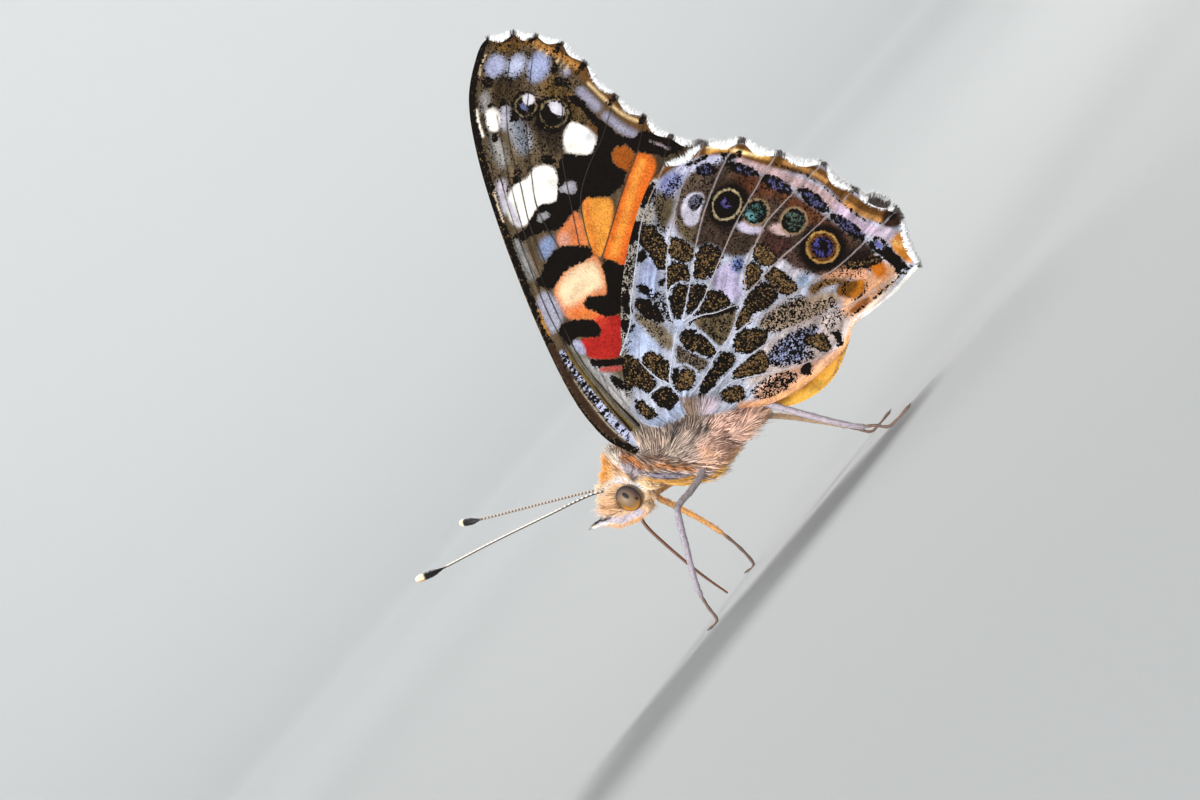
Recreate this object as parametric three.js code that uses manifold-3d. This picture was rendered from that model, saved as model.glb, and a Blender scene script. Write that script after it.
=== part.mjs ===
// A painted lady butterfly feeding with its wings closed over its back, at life size.
// Units are millimetres, +Z is up, the head points along -X and the left side faces -Y.
// Every shape is drawn in the side view, as (x, z), or in space, as (x, y, z).

import * as THREE from 'three';
import { mergeVertices } from 'three/addons/utils/BufferGeometryUtils.js';
import Module from 'manifold-3d';

const wasm = await Module();
wasm.setup();

// Driving dimensions
const MIDDLE = 0.9; // how far behind the drawing's zero the middle of the insect lies
const CLEARANCE = 0.3; // gap left between neighbouring pieces
const WING_THICKNESS = 0.5;
const FOREWING_MIDPLANE = 0.42; // distance of a closed forewing from the plane of symmetry
const HINDWING_MIDPLANE = 1.22;
const ROOT_SPREAD = 1.35; // how much further apart the wings stand beside the thorax
const ROOT_HEIGHT = 12.2; // level of the wing roots
const CLOSED_HEIGHT = 17.5; // level above which the wings lie together
const MARGIN_FLARE = 0.35; // outward curl at the rear margin
const RIGHT_AHEAD = 0.3; // how much further forward the right wings are held
const LEG_RADIUS = 0.26;
const THIGH_RADIUS = 0.34;
const TREAD = 0.15; // height of a foot's centre line, so that its sole is flat
const ANTENNA_RADIUS = 0.25;
const CLUB_RADIUS = 0.33;
const PROBOSCIS_RADIUS = 0.25;
const EYE_CENTRE = [-6.75, 1.0, 10.35];
const EYE_RADII = [0.84, 0.62, 1.0];

// Faceting
const WING_ROWS = 9;
const WING_COLUMNS = 20;
const SEAM = 1e-4;

// Smooth step from 0 at one value to 1 at another
function ease(value, zero, one) {
  const t = THREE.MathUtils.clamp((value - zero) / (one - zero), 0, 1);
  return t * t * (3 - 2 * t);
}

// A value read off a short list of evenly spaced stations
function station(values, t) {
  const place = THREE.MathUtils.clamp(t, 0, 1) * (values.length - 1);
  const low = Math.min(Math.floor(place), values.length - 2);
  return THREE.MathUtils.lerp(values[low], values[low + 1], ease(place - low, 0, 1));
}

function signedVolume(geometry) {
  const position = geometry.getAttribute('position');
  const index = geometry.getIndex();
  const corner = [new THREE.Vector3(), new THREE.Vector3(), new THREE.Vector3()];
  let total = 0;
  for (let i = 0; i < index.count; i += 3) {
    corner.forEach((point, k) => point.fromBufferAttribute(position, index.getX(i + k)));
    total += corner[0].dot(corner[1].cross(corner[2])) / 6;
  }
  return total;
}

// Moves every vertex with a rule, closes the seams and turns the faces outwards
function reshape(geometry, rule) {
  const bare = new THREE.BufferGeometry();
  bare.setAttribute('position', geometry.getAttribute('position'));
  bare.setIndex(geometry.getIndex());
  const position = bare.getAttribute('position');
  const point = new THREE.Vector3();
  for (let i = 0; i < position.count; i += 1) {
    point.fromBufferAttribute(position, i);
    const moved = rule(point);
    position.setXYZ(i, moved.x, moved.y, moved.z);
  }
  const closed = mergeVertices(bare, SEAM);
  if (signedVolume(closed) < 0) {
    closed.getIndex().array.reverse();
  }
  return closed;
}

// Rounded lobe along a line, with its half width and its depth above and below the line
function lobe({ from, to, wide, up, down, rings, sides }, grow = 0) {
  const start = new THREE.Vector3(...from);
  const end = new THREE.Vector3(...to);
  const along = end.clone().sub(start).normalize();
  start.addScaledVector(along, -grow);
  end.addScaledVector(along, grow);
  const side = new THREE.Vector3(0, 1, 0);
  const above = side.clone().cross(along).normalize();
  if (above.z < 0) {
    above.negate();
  }
  return reshape(new THREE.SphereGeometry(1, sides, rings), (p) => {
    const t = (1 - p.y) / 2;
    const depth = p.x > 0 ? station(up, t) : station(down, t);
    return start
      .clone()
      .lerp(end, t)
      .addScaledVector(side, p.z * (station(wide, t) + grow))
      .addScaledVector(above, p.x * (depth + grow));
  });
}

// Tapering limb along a smooth path; nothing of it reaches below the floor
function limb({ path, radii, sides, steps }, grow = 0) {
  const points = path.map((p) => new THREE.Vector3(...p));
  const curve = new THREE.CatmullRomCurve3(points, false, 'centripetal');
  return reshape(new THREE.CylinderGeometry(1, 1, 1, sides, steps), (p) => {
    const t = p.y + 0.5;
    const tangent = curve.getTangentAt(t);
    const across = new THREE.Vector3(0, 1, 0).cross(tangent).normalize();
    const other = tangent.clone().cross(across);
    const radius = station(radii, t) + grow;
    const moved = curve
      .getPointAt(t)
      .addScaledVector(across, p.x * radius)
      .addScaledVector(other, p.z * radius);
    moved.z = Math.max(moved.z, 0);
    return moved;
  });
}

// How far the wings stand out from their closed planes, round the thorax and abdomen
function spread(x, z) {
  const beside = 1 - ease(z, ROOT_HEIGHT, CLOSED_HEIGHT);
  const fade = THREE.MathUtils.lerp(1, 0.6, ease(x, 2, 8)) - 0.3 * ease(x, 12, 18);
  const curl = MARGIN_FLARE * ease(x, 4, 22);
  return ROOT_SPREAD * beside * fade + curl;
}

function smoothLine(points) {
  return new THREE.SplineCurve(points.map((p) => new THREE.Vector2(...p)));
}

// Margin through the vein ends, drawn in between them by a shallow scallop
function scalloped(veinEnds, depth) {
  const line = smoothLine(veinEnds);
  const cells = veinEnds.length - 1;
  return (v) => {
    const point = line.getPoint(v);
    const tangent = line.getTangent(v);
    const dip = depth * Math.sin(Math.PI * ((v * cells) % 1)) ** 2;
    return point.add(new THREE.Vector2(tangent.y, -tangent.x).multiplyScalar(dip));
  };
}

// A wing as a curved plate between its front edge, rear edge, root and outer margin
function wing({ front, rear, veinEnds, scallop, midplane, side }, grow = 0) {
  const frontLine = smoothLine(front);
  const rearLine = smoothLine(rear);
  const margin = scalloped(veinEnds, scallop);
  const corners = [front[0], front.at(-1), rear[0], rear.at(-1)].map((p) => new THREE.Vector2(...p));
  const [frontRoot, apex, rearRoot, tornus] = corners;
  const thickness = WING_THICKNESS + 2 * grow;
  return reshape(new THREE.BoxGeometry(1, 1, 1, WING_ROWS, WING_COLUMNS, 1), (p) => {
    const u = p.x + 0.5;
    const v = p.y + 0.5;
    const plane = new THREE.Vector2()
      .addScaledVector(frontLine.getPointAt(u), 1 - v)
      .addScaledVector(rearLine.getPointAt(u), v)
      .addScaledVector(frontRoot.clone().lerp(rearRoot, v), 1 - u)
      .addScaledVector(margin(v), u)
      .addScaledVector(frontRoot, -(1 - u) * (1 - v))
      .addScaledVector(apex, -u * (1 - v))
      .addScaledVector(rearRoot, -(1 - u) * v)
      .addScaledVector(tornus, -u * v);
    const offset = midplane + spread(plane.x, plane.y) + p.z * thickness;
    const ahead = side > 0 ? RIGHT_AHEAD : 0;
    return new THREE.Vector3(plane.x - ahead, side * offset, plane.y);
  });
}

function solid(geometry) {
  const vertProperties = geometry.getAttribute('position').array;
  const triVerts = new Uint32Array(geometry.getIndex().array);
  return new wasm.Manifold(new wasm.Mesh({ numProp: 3, vertProperties, triVerts }));
}

// A piece with room cut out of it for each neighbour that enters it
function withRoomFor(geometry, neighbours) {
  let body = solid(geometry);
  for (const neighbour of neighbours) {
    body = body.subtract(solid(neighbour));
  }
  const cut = body.getMesh();
  const result = new THREE.BufferGeometry();
  result.setAttribute('position', new THREE.BufferAttribute(cut.vertProperties, 3));
  result.setIndex(new THREE.BufferAttribute(cut.triVerts, 1));
  return result;
}

const model = new THREE.Group();
model.position.x = -MIDDLE;

function add(name, geometry, colour, roughness, metalness = 0) {
  const material = new THREE.MeshStandardMaterial({ color: colour, roughness, metalness });
  const mesh = new THREE.Mesh(geometry, material);
  mesh.name = name;
  geometry.computeVertexNormals();
  model.add(mesh);
}

const SIDES = [
  ['left', -1],
  ['right', 1],
];

// Wings: the hindwing covers the forewing's rear half, and its inner fold wraps the abdomen
function forewing(side) {
  return {
    front: [
      [-3.9, 12.1], [-4.5, 14.2], [-4.35, 16.4], [-3.3, 19.6], [-1.1, 24.4], [2.1, 30.3],
      [5.0, 34.8], [7.6, 37.75], [10.4, 39.35], [11.6, 39.5],
    ],
    rear: [[0.2, 12.4], [4.0, 14.6], [9.0, 18.0], [13.0, 20.3], [16.0, 21.6]],
    veinEnds: [
      [11.6, 39.5], [13.1, 38.35], [14.0, 37.0], [14.8, 35.25], [14.85, 33.05], [14.45, 29.95],
      [14.75, 27.4], [14.95, 25.1], [16.05, 23.2], [16.0, 21.6],
    ],
    scallop: 0.16,
    midplane: FOREWING_MIDPLANE,
    side,
  };
}

// The right wing's inner fold hangs lower than the left one's
function hindwing(side) {
  const hang = side > 0 ? 1.15 : 0;
  return {
    front: [
      [-0.9, 11.3], [-1.75, 13.2], [-1.5, 14.7], [-0.5, 16.2], [2.0, 18.65], [4.9, 21.0],
      [8.0, 22.8], [11.0, 24.0], [13.1, 24.2],
    ],
    rear: [
      [3.4, 8.9], [4.7, 7.7 - 0.8 * hang], [7.0, 6.6 - 1.1 * hang], [9.5, 6.1 - hang],
      [12.0, 6.0 - 0.2 * hang], [13.6, 6.55], [15.2, 6.1], [17.5, 5.65], [19.7, 5.8],
    ],
    veinEnds: [
      [13.1, 24.2], [16.1, 23.05], [18.1, 21.15], [19.15, 18.5], [20.6, 15.7], [20.7, 12.8],
      [21.6, 9.5], [19.7, 5.8],
    ],
    scallop: 0.22,
    midplane: HINDWING_MIDPLANE,
    side,
  };
}

// Body lobes
const THORAX = {
  from: [-6.1, 0, 12.2],
  to: [4.3, 0, 9.6],
  wide: [2.2, 2.3, 2.2, 2.15, 2.2],
  up: [3.6, 2.5, 2.3, 2.4, 2.9],
  down: [2.5, 3.65, 3.9, 3.85, 3.9],
  rings: 13,
  sides: 16,
};
const ABDOMEN = {
  from: [3.6, 0, 9.95],
  to: [13.7, 0, 7.75],
  wide: [1.35, 1.45, 1.45, 1.25, 1.0],
  up: [1.4, 1.45, 1.4, 1.2, 1.0],
  down: [1.4, 1.5, 1.5, 1.3, 1.0],
  rings: 11,
  sides: 12,
};
const HEAD = {
  from: [-8.35, 0, 10.95],
  to: [-5.0, 0, 10.65],
  wide: [1.2, 1.15, 1.1, 1.1, 1.2],
  up: [1.5, 1.65, 2.1, 3.0, 3.3],
  down: [1.2, 1.7, 2.2, 2.6, 2.8],
  rings: 10,
  sides: 16,
};

function palp(side) {
  return {
    from: [-5.9, side * 0.62, 8.95],
    to: [-10.5, side * 0.4, 11.05],
    wide: [0.42, 0.4, 0.36, 0.32, 0.3],
    up: [0.3, 0.32, 0.5, 0.5, 0.4],
    down: [1.1, 1.0, 0.8, 0.42, 0.35],
    rings: 10,
    sides: 10,
  };
}

function eye(grow = 0) {
  return (side) =>
    reshape(new THREE.SphereGeometry(1, 12, 9), (p) => {
      const [rx, ry, rz] = EYE_RADII.map((radius) => radius + grow);
      const [cx, cy, cz] = EYE_CENTRE;
      return new THREE.Vector3(cx + p.x * rx, side * cy + p.z * ry, cz + p.y * rz);
    });
}

// Feelers: the left one reaches forward, the right one further out to its side
function antenna(side) {
  const left = [
    [-6.9, -0.5, 11.3], [-8.3, -1.0, 12.5], [-11.2, -2.7, 13.95], [-15.0, -5.1, 15.8],
    [-18.2, -7.1, 17.25], [-19.9, -8.1, 18.15],
  ];
  const right = [
    [-6.9, 0.5, 11.4], [-8.6, 1.3, 12.6], [-11.1, 3.1, 14.0], [-14.4, 5.5, 15.8],
    [-16.8, 7.1, 17.15], [-18.1, 8.1, 17.95],
  ];
  const shaft = ANTENNA_RADIUS;
  return {
    path: side < 0 ? left : right,
    radii: [shaft, shaft, shaft, shaft, shaft, shaft, shaft, shaft, CLUB_RADIUS, shaft],
    sides: 6,
    steps: 16,
  };
}

const PROBOSCIS = {
  path: [[-6.9, 0, 9.4], [-7.55, 0, 8.3], [-7.7, 0, 6.2], [-7.65, 0, 3.0], [-7.4, 0, 0.5]],
  radii: [PROBOSCIS_RADIUS, PROBOSCIS_RADIUS],
  sides: 8,
  steps: 12,
};

// Legs: the short forelegs lie folded against the chest, the other four stand on the floor
function foreleg(side) {
  return {
    path: [
      [-4.75, side * 0.9, 11.2], [-4.2, side * 1.35, 10.1], [-3.35, side * 1.5, 9.0],
      [-2.5, side * 1.3, 8.25], [-1.95, side * 1.1, 7.85],
    ],
    radii: [0.36, 0.46, 0.44, 0.34, 0.26],
    sides: 8,
    steps: 12,
  };
}

const LEG_RADII = [
  THIGH_RADIUS, THIGH_RADIUS, THIGH_RADIUS, LEG_RADIUS, LEG_RADIUS, LEG_RADIUS, LEG_RADIUS,
];
const LEG_PATHS = {
  midleg_left: [
    [-0.9, -1.0, 8.3], [-1.6, -1.7, 7.7], [-3.0, -2.8, 7.5], [-4.2, -3.6, 7.5],
    [-4.75, -3.85, 7.1], [-6.15, -4.1, 5.1], [-7.7, -4.4, 2.7], [-8.2, -4.6, 1.3],
    [-8.5, -4.75, TREAD], [-9.3, -4.95, TREAD],
  ],
  midleg_right: [
    [-0.9, 1.0, 8.3], [-1.9, 1.8, 7.8], [-4.0, 2.9, 8.4], [-5.7, 3.5, 8.85],
    [-6.1, 3.65, 8.5], [-5.75, 4.0, 6.9], [-5.3, 4.5, 4.3], [-5.2, 4.9, 2.0],
    [-5.5, 5.15, TREAD], [-6.3, 5.3, TREAD],
  ],
  hindleg_left: [
    [1.3, -0.9, 8.2], [2.2, -1.25, 7.6], [3.8, -1.45, 7.6], [4.75, -1.55, 7.75],
    [5.15, -1.75, 7.35], [6.9, -3.1, 4.3], [8.4, -4.1, 1.9], [9.4, -4.45, 0.95],
    [10.2, -4.65, TREAD], [12.2, -5.1, TREAD],
  ],
  hindleg_right: [
    [1.3, 0.9, 8.2], [1.9, 1.25, 7.6], [2.6, 1.6, 7.6], [3.15, 1.95, 7.65],
    [3.45, 2.2, 7.25], [4.85, 3.3, 5.1], [6.4, 4.1, 2.4], [7.1, 4.45, 1.0],
    [7.7, 4.7, TREAD], [9.5, 5.15, TREAD],
  ],
};

function leg(name) {
  return { path: LEG_PATHS[name], radii: LEG_RADII, sides: 8, steps: 20 };
}

// Assembly: every piece that enters another has room cut for it
const forewings = [];
const hindwings = [];
for (const [word, side] of SIDES) {
  add(`forewing_${word}`, wing(forewing(side)), 0xb4603a, 0.75);
  add(`hindwing_${word}`, wing(hindwing(side)), 0x8b7b68, 0.8);
  forewings.push(wing(forewing(side), CLEARANCE));
  hindwings.push(wing(hindwing(side), CLEARANCE));
}

const legRooms = [];
for (const name of Object.keys(LEG_PATHS)) {
  add(name, limb(leg(name)), 0x8d8288, 0.7);
  legRooms.push(limb(leg(name), CLEARANCE));
}
for (const [word, side] of SIDES) {
  add(`foreleg_${word}`, limb(foreleg(side)), 0xa89080, 0.8);
  legRooms.push(limb(foreleg(side), CLEARANCE));
}

add('thorax', withRoomFor(lobe(THORAX), [...forewings, ...hindwings, ...legRooms]), 0xa48a78, 0.9);
const thoraxRoom = lobe(THORAX, CLEARANCE);
add('abdomen', withRoomFor(lobe(ABDOMEN), [thoraxRoom, ...hindwings]), 0xa07a55, 0.9);

const proboscisRoom = limb(PROBOSCIS, CLEARANCE);
const headRooms = [thoraxRoom, proboscisRoom, ...legRooms];
for (const [word, side] of SIDES) {
  add(`eye_${word}`, eye()(side), 0x6f6a5a, 0.25);
  add(`antenna_${word}`, limb(antenna(side)), 0x3a2f2a, 0.6);
  add(`palp_${word}`, withRoomFor(lobe(palp(side)), [proboscisRoom, eye(CLEARANCE)(side)]), 0xc0a890, 0.85);
  headRooms.push(eye(CLEARANCE)(side), limb(antenna(side), CLEARANCE), lobe(palp(side), CLEARANCE));
}
add('head', withRoomFor(lobe(HEAD), headRooms), 0xd8b486, 0.9);
add('proboscis', limb(PROBOSCIS), 0x3a2012, 0.4);

export default model;
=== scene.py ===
import math

import bmesh
import bpy
import numpy as np
from mathutils import Matrix, Vector


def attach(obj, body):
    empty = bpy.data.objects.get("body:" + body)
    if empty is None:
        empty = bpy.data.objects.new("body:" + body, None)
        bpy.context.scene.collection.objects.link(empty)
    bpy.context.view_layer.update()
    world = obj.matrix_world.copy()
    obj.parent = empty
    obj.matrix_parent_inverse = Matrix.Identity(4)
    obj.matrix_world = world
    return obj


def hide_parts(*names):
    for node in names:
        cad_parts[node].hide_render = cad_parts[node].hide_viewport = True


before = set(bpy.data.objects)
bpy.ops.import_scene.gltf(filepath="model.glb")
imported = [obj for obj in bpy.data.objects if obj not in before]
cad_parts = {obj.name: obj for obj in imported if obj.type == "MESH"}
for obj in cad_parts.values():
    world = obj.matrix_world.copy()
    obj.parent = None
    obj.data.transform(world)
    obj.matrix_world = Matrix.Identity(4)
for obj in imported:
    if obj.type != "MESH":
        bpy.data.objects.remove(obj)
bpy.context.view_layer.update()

# Shapes are drawn in millimetres, head towards -X, left side towards -Y, and moved into place at the end
MM = 0.001
MIDDLE = 0.9  # how far behind the drawing's zero the middle of the insect lies
SIDES = (("left", -1), ("right", 1))
PLACE = Matrix.Scale(MM, 4) @ Matrix.Translation((-MIDDLE, 0, 0))
chance = np.random.RandomState(7)

# The photograph's angle: a little from behind, almost level, and rolled as the insect was pitched
AZIMUTH = math.radians(10)
ELEVATION = math.radians(2)
ROLL = math.radians(49)
DISTANCE = 428.6
AIM = (-2.9, 0, 16.5)
LENS = 180


def make_camera():
    data = bpy.data.cameras.new("camera")
    data.lens = LENS
    data.clip_start, data.clip_end = 0.01, 10
    away = Vector((math.sin(AZIMUTH), -math.cos(AZIMUTH), 0)) * math.cos(ELEVATION)
    away.z = math.sin(ELEVATION)
    level = Vector((math.cos(AZIMUTH), math.sin(AZIMUTH), 0))
    upright = away.cross(level)
    right = level * math.cos(ROLL) - upright * math.sin(ROLL)
    up = level * math.sin(ROLL) + upright * math.cos(ROLL)
    turn = Matrix((right, up, away)).transposed().to_4x4()
    camera = bpy.data.objects.new("camera", data)
    camera.matrix_world = Matrix.Translation(PLACE @ Vector(AIM) + away * DISTANCE * MM) @ turn
    bpy.context.scene.collection.objects.link(camera)
    bpy.context.scene.camera = camera


make_camera()


# Colours and shader nodes
def tone(code):
    """An sRGB hex colour as linear light."""
    shares = [int(code[i : i + 2], 16) / 255 for i in (1, 3, 5)]
    return np.array([s / 12.92 if s <= 0.04045 else ((s + 0.055) / 1.055) ** 2.4 for s in shares])


def rgba(code):
    return (*tone(code), 1.0)


def blend(first, second, share):
    """One colour turning into another with each point's share."""
    return first * (1 - share[:, None]) + second * share[:, None]


def add(tree, kind, inputs=None, **settings):
    """Adds a node with its own settings; inputs takes values, or sockets or nodes to link."""
    made = tree.nodes.new("ShaderNode" + kind)
    for name, value in settings.items():
        setattr(made, name, value)
    for socket, value in (inputs or {}).items():
        if isinstance(value, bpy.types.Node):
            value = next(output for output in value.outputs if output.enabled)
        if isinstance(value, bpy.types.NodeSocket):
            tree.links.new(value, made.inputs[socket])
        else:
            made.inputs[socket].default_value = value
    return made


MIX_A, MIX_B, MIX_OUT = 6, 7, 2  # the colour sockets of a Mix node


def finish_surface(tree, shader, colour=None, level=None, relief=None, dented=False):
    """Colours the shader from the piece's own tint, or a colour given here, and gives it its relief.

    A level makes the colour lighter or darker. Relief is a height, its strength and its depth in mm."""
    if colour is None:
        colour = add(tree, "Attribute", attribute_name="tint").outputs["Color"]
    if level is not None:
        grey = add(tree, "CombineColor", {k: level for k in range(3)})
        mixed = add(tree, "Mix", {0: 1.0, MIX_A: colour, MIX_B: grey}, data_type="RGBA",
                    blend_type="MULTIPLY")
        colour = mixed.outputs[MIX_OUT]
    tree.links.new(colour, shader.inputs["Base Color"])
    if relief is not None:
        height, strength, depth = relief
        sockets = {"Height": height, "Strength": strength, "Distance": depth * MM}
        tree.links.new(add(tree, "Bump", sockets, invert=dented).outputs[0], shader.inputs["Normal"])


def surface(name, roughness, **sockets):
    """A material with its Principled shader, ready for nodes."""
    material = bpy.data.materials.new(name)
    material.use_nodes = True
    tree = material.node_tree
    shader = tree.nodes["Principled BSDF"]
    shader.inputs["Roughness"].default_value = roughness
    for socket, value in sockets.items():
        shader.inputs[socket.replace("_", " ")].default_value = value
    return material, tree, shader


# Distances, noise and smooth lines
REACH = 1.3  # distances are only needed this far from an edge


def ease(value, zero, one):
    t = np.clip((value - zero) / (one - zero), 0, 1)
    return t * t * (3 - 2 * t)


class Line:
    """A smooth line through a few points, walked by share of its length or point by point."""

    def __init__(self, points):
        self.points = np.array(points, float)
        stations = np.linspace(0, 1, 400)
        steps = np.linalg.norm(np.diff(self.station(stations), axis=0), axis=1)
        self.length = steps.sum()
        self.stations = stations
        self.travelled = np.concatenate([[0], np.cumsum(steps)]) / self.length

    def station(self, t):
        last = len(self.points) - 1
        place = np.clip(t, 0, 1) * last
        k = np.minimum(place.astype(int), last - 1)
        w = (place - k)[:, None]
        p0, p1 = self.points[np.maximum(k - 1, 0)], self.points[k]
        p2, p3 = self.points[k + 1], self.points[np.minimum(k + 2, last)]
        v0, v1 = (p2 - p0) / 2, (p3 - p1) / 2
        return ((2 * p1 - 2 * p2 + v0 + v1) * w + (3 * p2 - 3 * p1 - 2 * v0 - v1)) * w * w + v0 * w + p1

    def at(self, share):
        return self.station(np.interp(share, self.travelled, self.stations))

    def heading(self, t, walk=None):
        walk = walk or self.station
        step = walk(np.minimum(t + 0.002, 1)) - walk(np.maximum(t - 0.002, 0))
        return step / np.linalg.norm(step, axis=1)[:, None]


LINE_PIECES = 40  # straight pieces that a smooth line is measured by


def near_line(plane, line):
    """Distance of each point from a line, and the share of the line where it is nearest."""
    points = Line(line).at(np.linspace(0, 1, LINE_PIECES + 1))
    close = np.all((plane > points.min(0) - REACH) & (plane < points.max(0) + REACH), axis=1)
    spots = plane[close]
    best, share = np.full(len(spots), REACH), np.zeros(len(spots))
    for k in range(LINE_PIECES):
        edge = points[k + 1] - points[k]
        t = np.clip((spots - points[k]) @ edge / (edge @ edge), 0, 1)
        gap = np.linalg.norm(spots - points[k] - t[:, None] * edge, axis=1)
        share = np.where(gap < best, (k + t) / LINE_PIECES, share)
        best = np.minimum(gap, best)
    distance, where = np.full(len(plane), REACH), np.zeros(len(plane))
    distance[close], where[close] = best, share
    return distance, where


CORNER_CUTS = 2  # how often the corners of an outline are cut
CORNER_CUT = 0.22  # share of each side that a cut takes
TINY = 1e-9


def patch(plane, outline, grow=0.05):
    """How far inside an outline with softened corners each point lies, negative outside."""
    corners = np.array(outline, float)
    for _ in range(CORNER_CUTS):
        ahead = np.roll(corners, -1, axis=0)
        first = corners * (1 - CORNER_CUT) + ahead * CORNER_CUT
        second = corners * CORNER_CUT + ahead * (1 - CORNER_CUT)
        corners = np.stack([first, second], 1).reshape(-1, 2)
    close = np.all((plane > corners.min(0) - REACH) & (plane < corners.max(0) + REACH), axis=1)
    spots = plane[close]
    best, within = np.full(len(spots), REACH), np.zeros(len(spots), bool)
    for a, b in zip(corners, np.roll(corners, -1, axis=0)):
        edge = b - a
        t = np.clip((spots - a) @ edge / max(edge @ edge, TINY), 0, 1)
        best = np.minimum(best, np.linalg.norm(spots - a - t[:, None] * edge, axis=1))
        spans = (a[1] > spots[:, 1]) != (b[1] > spots[:, 1])
        rise = edge[1] if abs(edge[1]) > TINY else TINY
        within ^= spans & (spots[:, 0] < a[0] + (spots[:, 1] - a[1]) * edge[0] / rise)
    depth = np.full(len(plane), -REACH)
    depth[close] = np.where(within, best, -best) + grow
    return depth


def clouds(plane, size, seed):
    """Smooth noise from 0 to 1 with patches of this size."""
    cells = 64
    lattice = np.random.RandomState(seed).rand(cells, cells)
    place = plane / size + 500  # far from the zero, so that no place is negative
    corner = np.floor(place).astype(int)
    w = place - corner
    w = w * w * (3 - 2 * w)
    a, b = corner[:, 0] % cells, corner[:, 1] % cells
    c, d = (a + 1) % cells, (b + 1) % cells
    low = lattice[a, b] * (1 - w[:, 0]) + lattice[c, b] * w[:, 0]
    high = lattice[a, d] * (1 - w[:, 0]) + lattice[c, d] * w[:, 0]
    return low * (1 - w[:, 1]) + high * w[:, 1]


BLACK_RIM = 0.12  # how wide the black edge of a gilded mark is


class Pattern:
    """Markings over points of the side view: ground colour, black scales, gold scales and specks.

    A mark is an outline, or the depth of each point inside a line, oval, ring or patch, negative outside."""

    def __init__(self, plane, ground, nearer=(0, 0)):
        self.plane = plane - np.array(nearer)
        self.ground = np.tile(tone(ground), (len(plane), 1))
        self.ink = np.full(len(plane), -REACH)
        self.gold = np.zeros(len(plane))
        self.speck = np.zeros(len(plane))

    def patch(self, outline, grow=0.05):
        return patch(self.plane, outline, grow)

    def line(self, points, half, end=None):
        """A stripe of this half width, which may have another at its end."""
        distance, share = near_line(self.plane, points)
        return half + ((half if end is None else end) - half) * share - distance

    def oval(self, centre, radii, turn=0):
        c, s = math.cos(math.radians(turn)), math.sin(math.radians(turn))
        away = self.plane - np.array(centre)
        along, across = away[:, 0] * c + away[:, 1] * s, away[:, 1] * c - away[:, 0] * s
        return (1 - np.hypot(along / radii[0], across / radii[1])) * min(radii)

    def ring(self, centre, radii, half, turn=0):
        return half - np.abs(self.oval(centre, radii, turn))

    def depth(self, mark):
        return mark if isinstance(mark, np.ndarray) else self.patch(mark)

    def wash(self, colour, mark, soft=0.25, strength=1.0):
        cover = ease(self.depth(mark), -soft, soft) * strength
        self.ground += (tone(colour) - self.ground) * cover[:, None]

    def dark(self, mark, gold=0.0):
        """Black scales, with a share of gold ones inside a black rim."""
        depth = self.depth(mark)
        inner = gold * ease(depth, 0.3 * BLACK_RIM, 2.2 * BLACK_RIM)
        self.gold = np.where(depth > np.maximum(self.ink, -0.1), inner, self.gold)
        self.ink = np.maximum(self.ink, depth)

    def bare(self, colour, mark, soft=0.1):
        """A mark of plain colour, free of black scales."""
        depth = self.depth(mark)
        self.wash(colour, depth, soft)
        self.ink = np.minimum(self.ink, -depth)
        self.speck *= 1 - ease(depth, -soft, soft)

    def specks(self, share, mark, soft=0.3):
        cover = ease(self.depth(mark), -soft, soft)
        self.speck += (share - self.speck) * cover

    def streaks(self, rays, share, seed):
        """Fine lighter and darker rays that run with the veins; rays is the place across them."""
        along = np.linalg.norm(self.plane, axis=1) * 0.5
        level = clouds(np.stack([along, rays], 1), 1.0, seed) - 0.5
        self.ground *= np.clip(1 + 2 * share * level, 0.2, 2)[:, None]


# Meshes
def as_mesh(name, bm):
    mesh = bpy.data.meshes.new(name)
    bm.to_mesh(mesh)
    bm.free()
    return mesh


def points_of(mesh):
    flat = np.empty(len(mesh.vertices) * 3)
    mesh.vertices.foreach_get("co", flat)
    return flat.reshape(-1, 3)


def set_points(mesh, points):
    mesh.vertices.foreach_set("co", np.asarray(points, np.float32).ravel())
    mesh.update()


def face_outwards(mesh):
    bm = bmesh.new()
    bm.from_mesh(mesh)
    bmesh.ops.recalc_face_normals(bm, faces=bm.faces[:])
    bm.to_mesh(mesh)
    bm.free()


def store(mesh, name, values):
    """Keeps a number or a colour for each point, for the material to read."""
    if values.ndim == 1:
        layer = mesh.attributes.new(name, "FLOAT", "POINT")
        layer.data.foreach_set("value", values.astype(np.float32))
    else:
        layer = mesh.attributes.new(name, "FLOAT_COLOR", "POINT")
        full = np.ones((len(values), 4), np.float32)
        full[:, :3] = values
        layer.data.foreach_set("color", full.ravel())


def store_map(mesh, places):
    """The map for the bake, from a place in 0 to 1 for each point."""
    layer = mesh.uv_layers.new(name="OFBake")
    corners = np.empty(len(mesh.loops), np.int32)
    mesh.loops.foreach_get("vertex_index", corners)
    layer.data.foreach_set("uv", places[corners].astype(np.float32).ravel())


def put(name, mesh, material, nodes=()):
    """Moves a finished mesh into place as a piece that rides with the body."""
    mesh.transform(PLACE)
    mesh.materials.append(material)
    mesh.polygons.foreach_set("use_smooth", np.full(len(mesh.polygons), True))
    piece = bpy.data.objects.new(name, mesh)
    bpy.context.scene.collection.objects.link(piece)
    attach(piece, "root")
    if nodes:
        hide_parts(*nodes)


def applied(mesh, *modifiers):
    """A mesh after modifiers, each given as its kind and settings."""
    worker = bpy.data.objects.new("worker", mesh)
    bpy.context.scene.collection.objects.link(worker)
    for kind, settings in modifiers:
        modifier = worker.modifiers.new(kind, kind)
        for key, value in settings.items():
            setattr(modifier, key, value)
    graph = bpy.context.evaluated_depsgraph_get()
    made = bpy.data.meshes.new_from_object(worker.evaluated_get(graph))
    bpy.data.objects.remove(worker)
    return made


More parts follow.
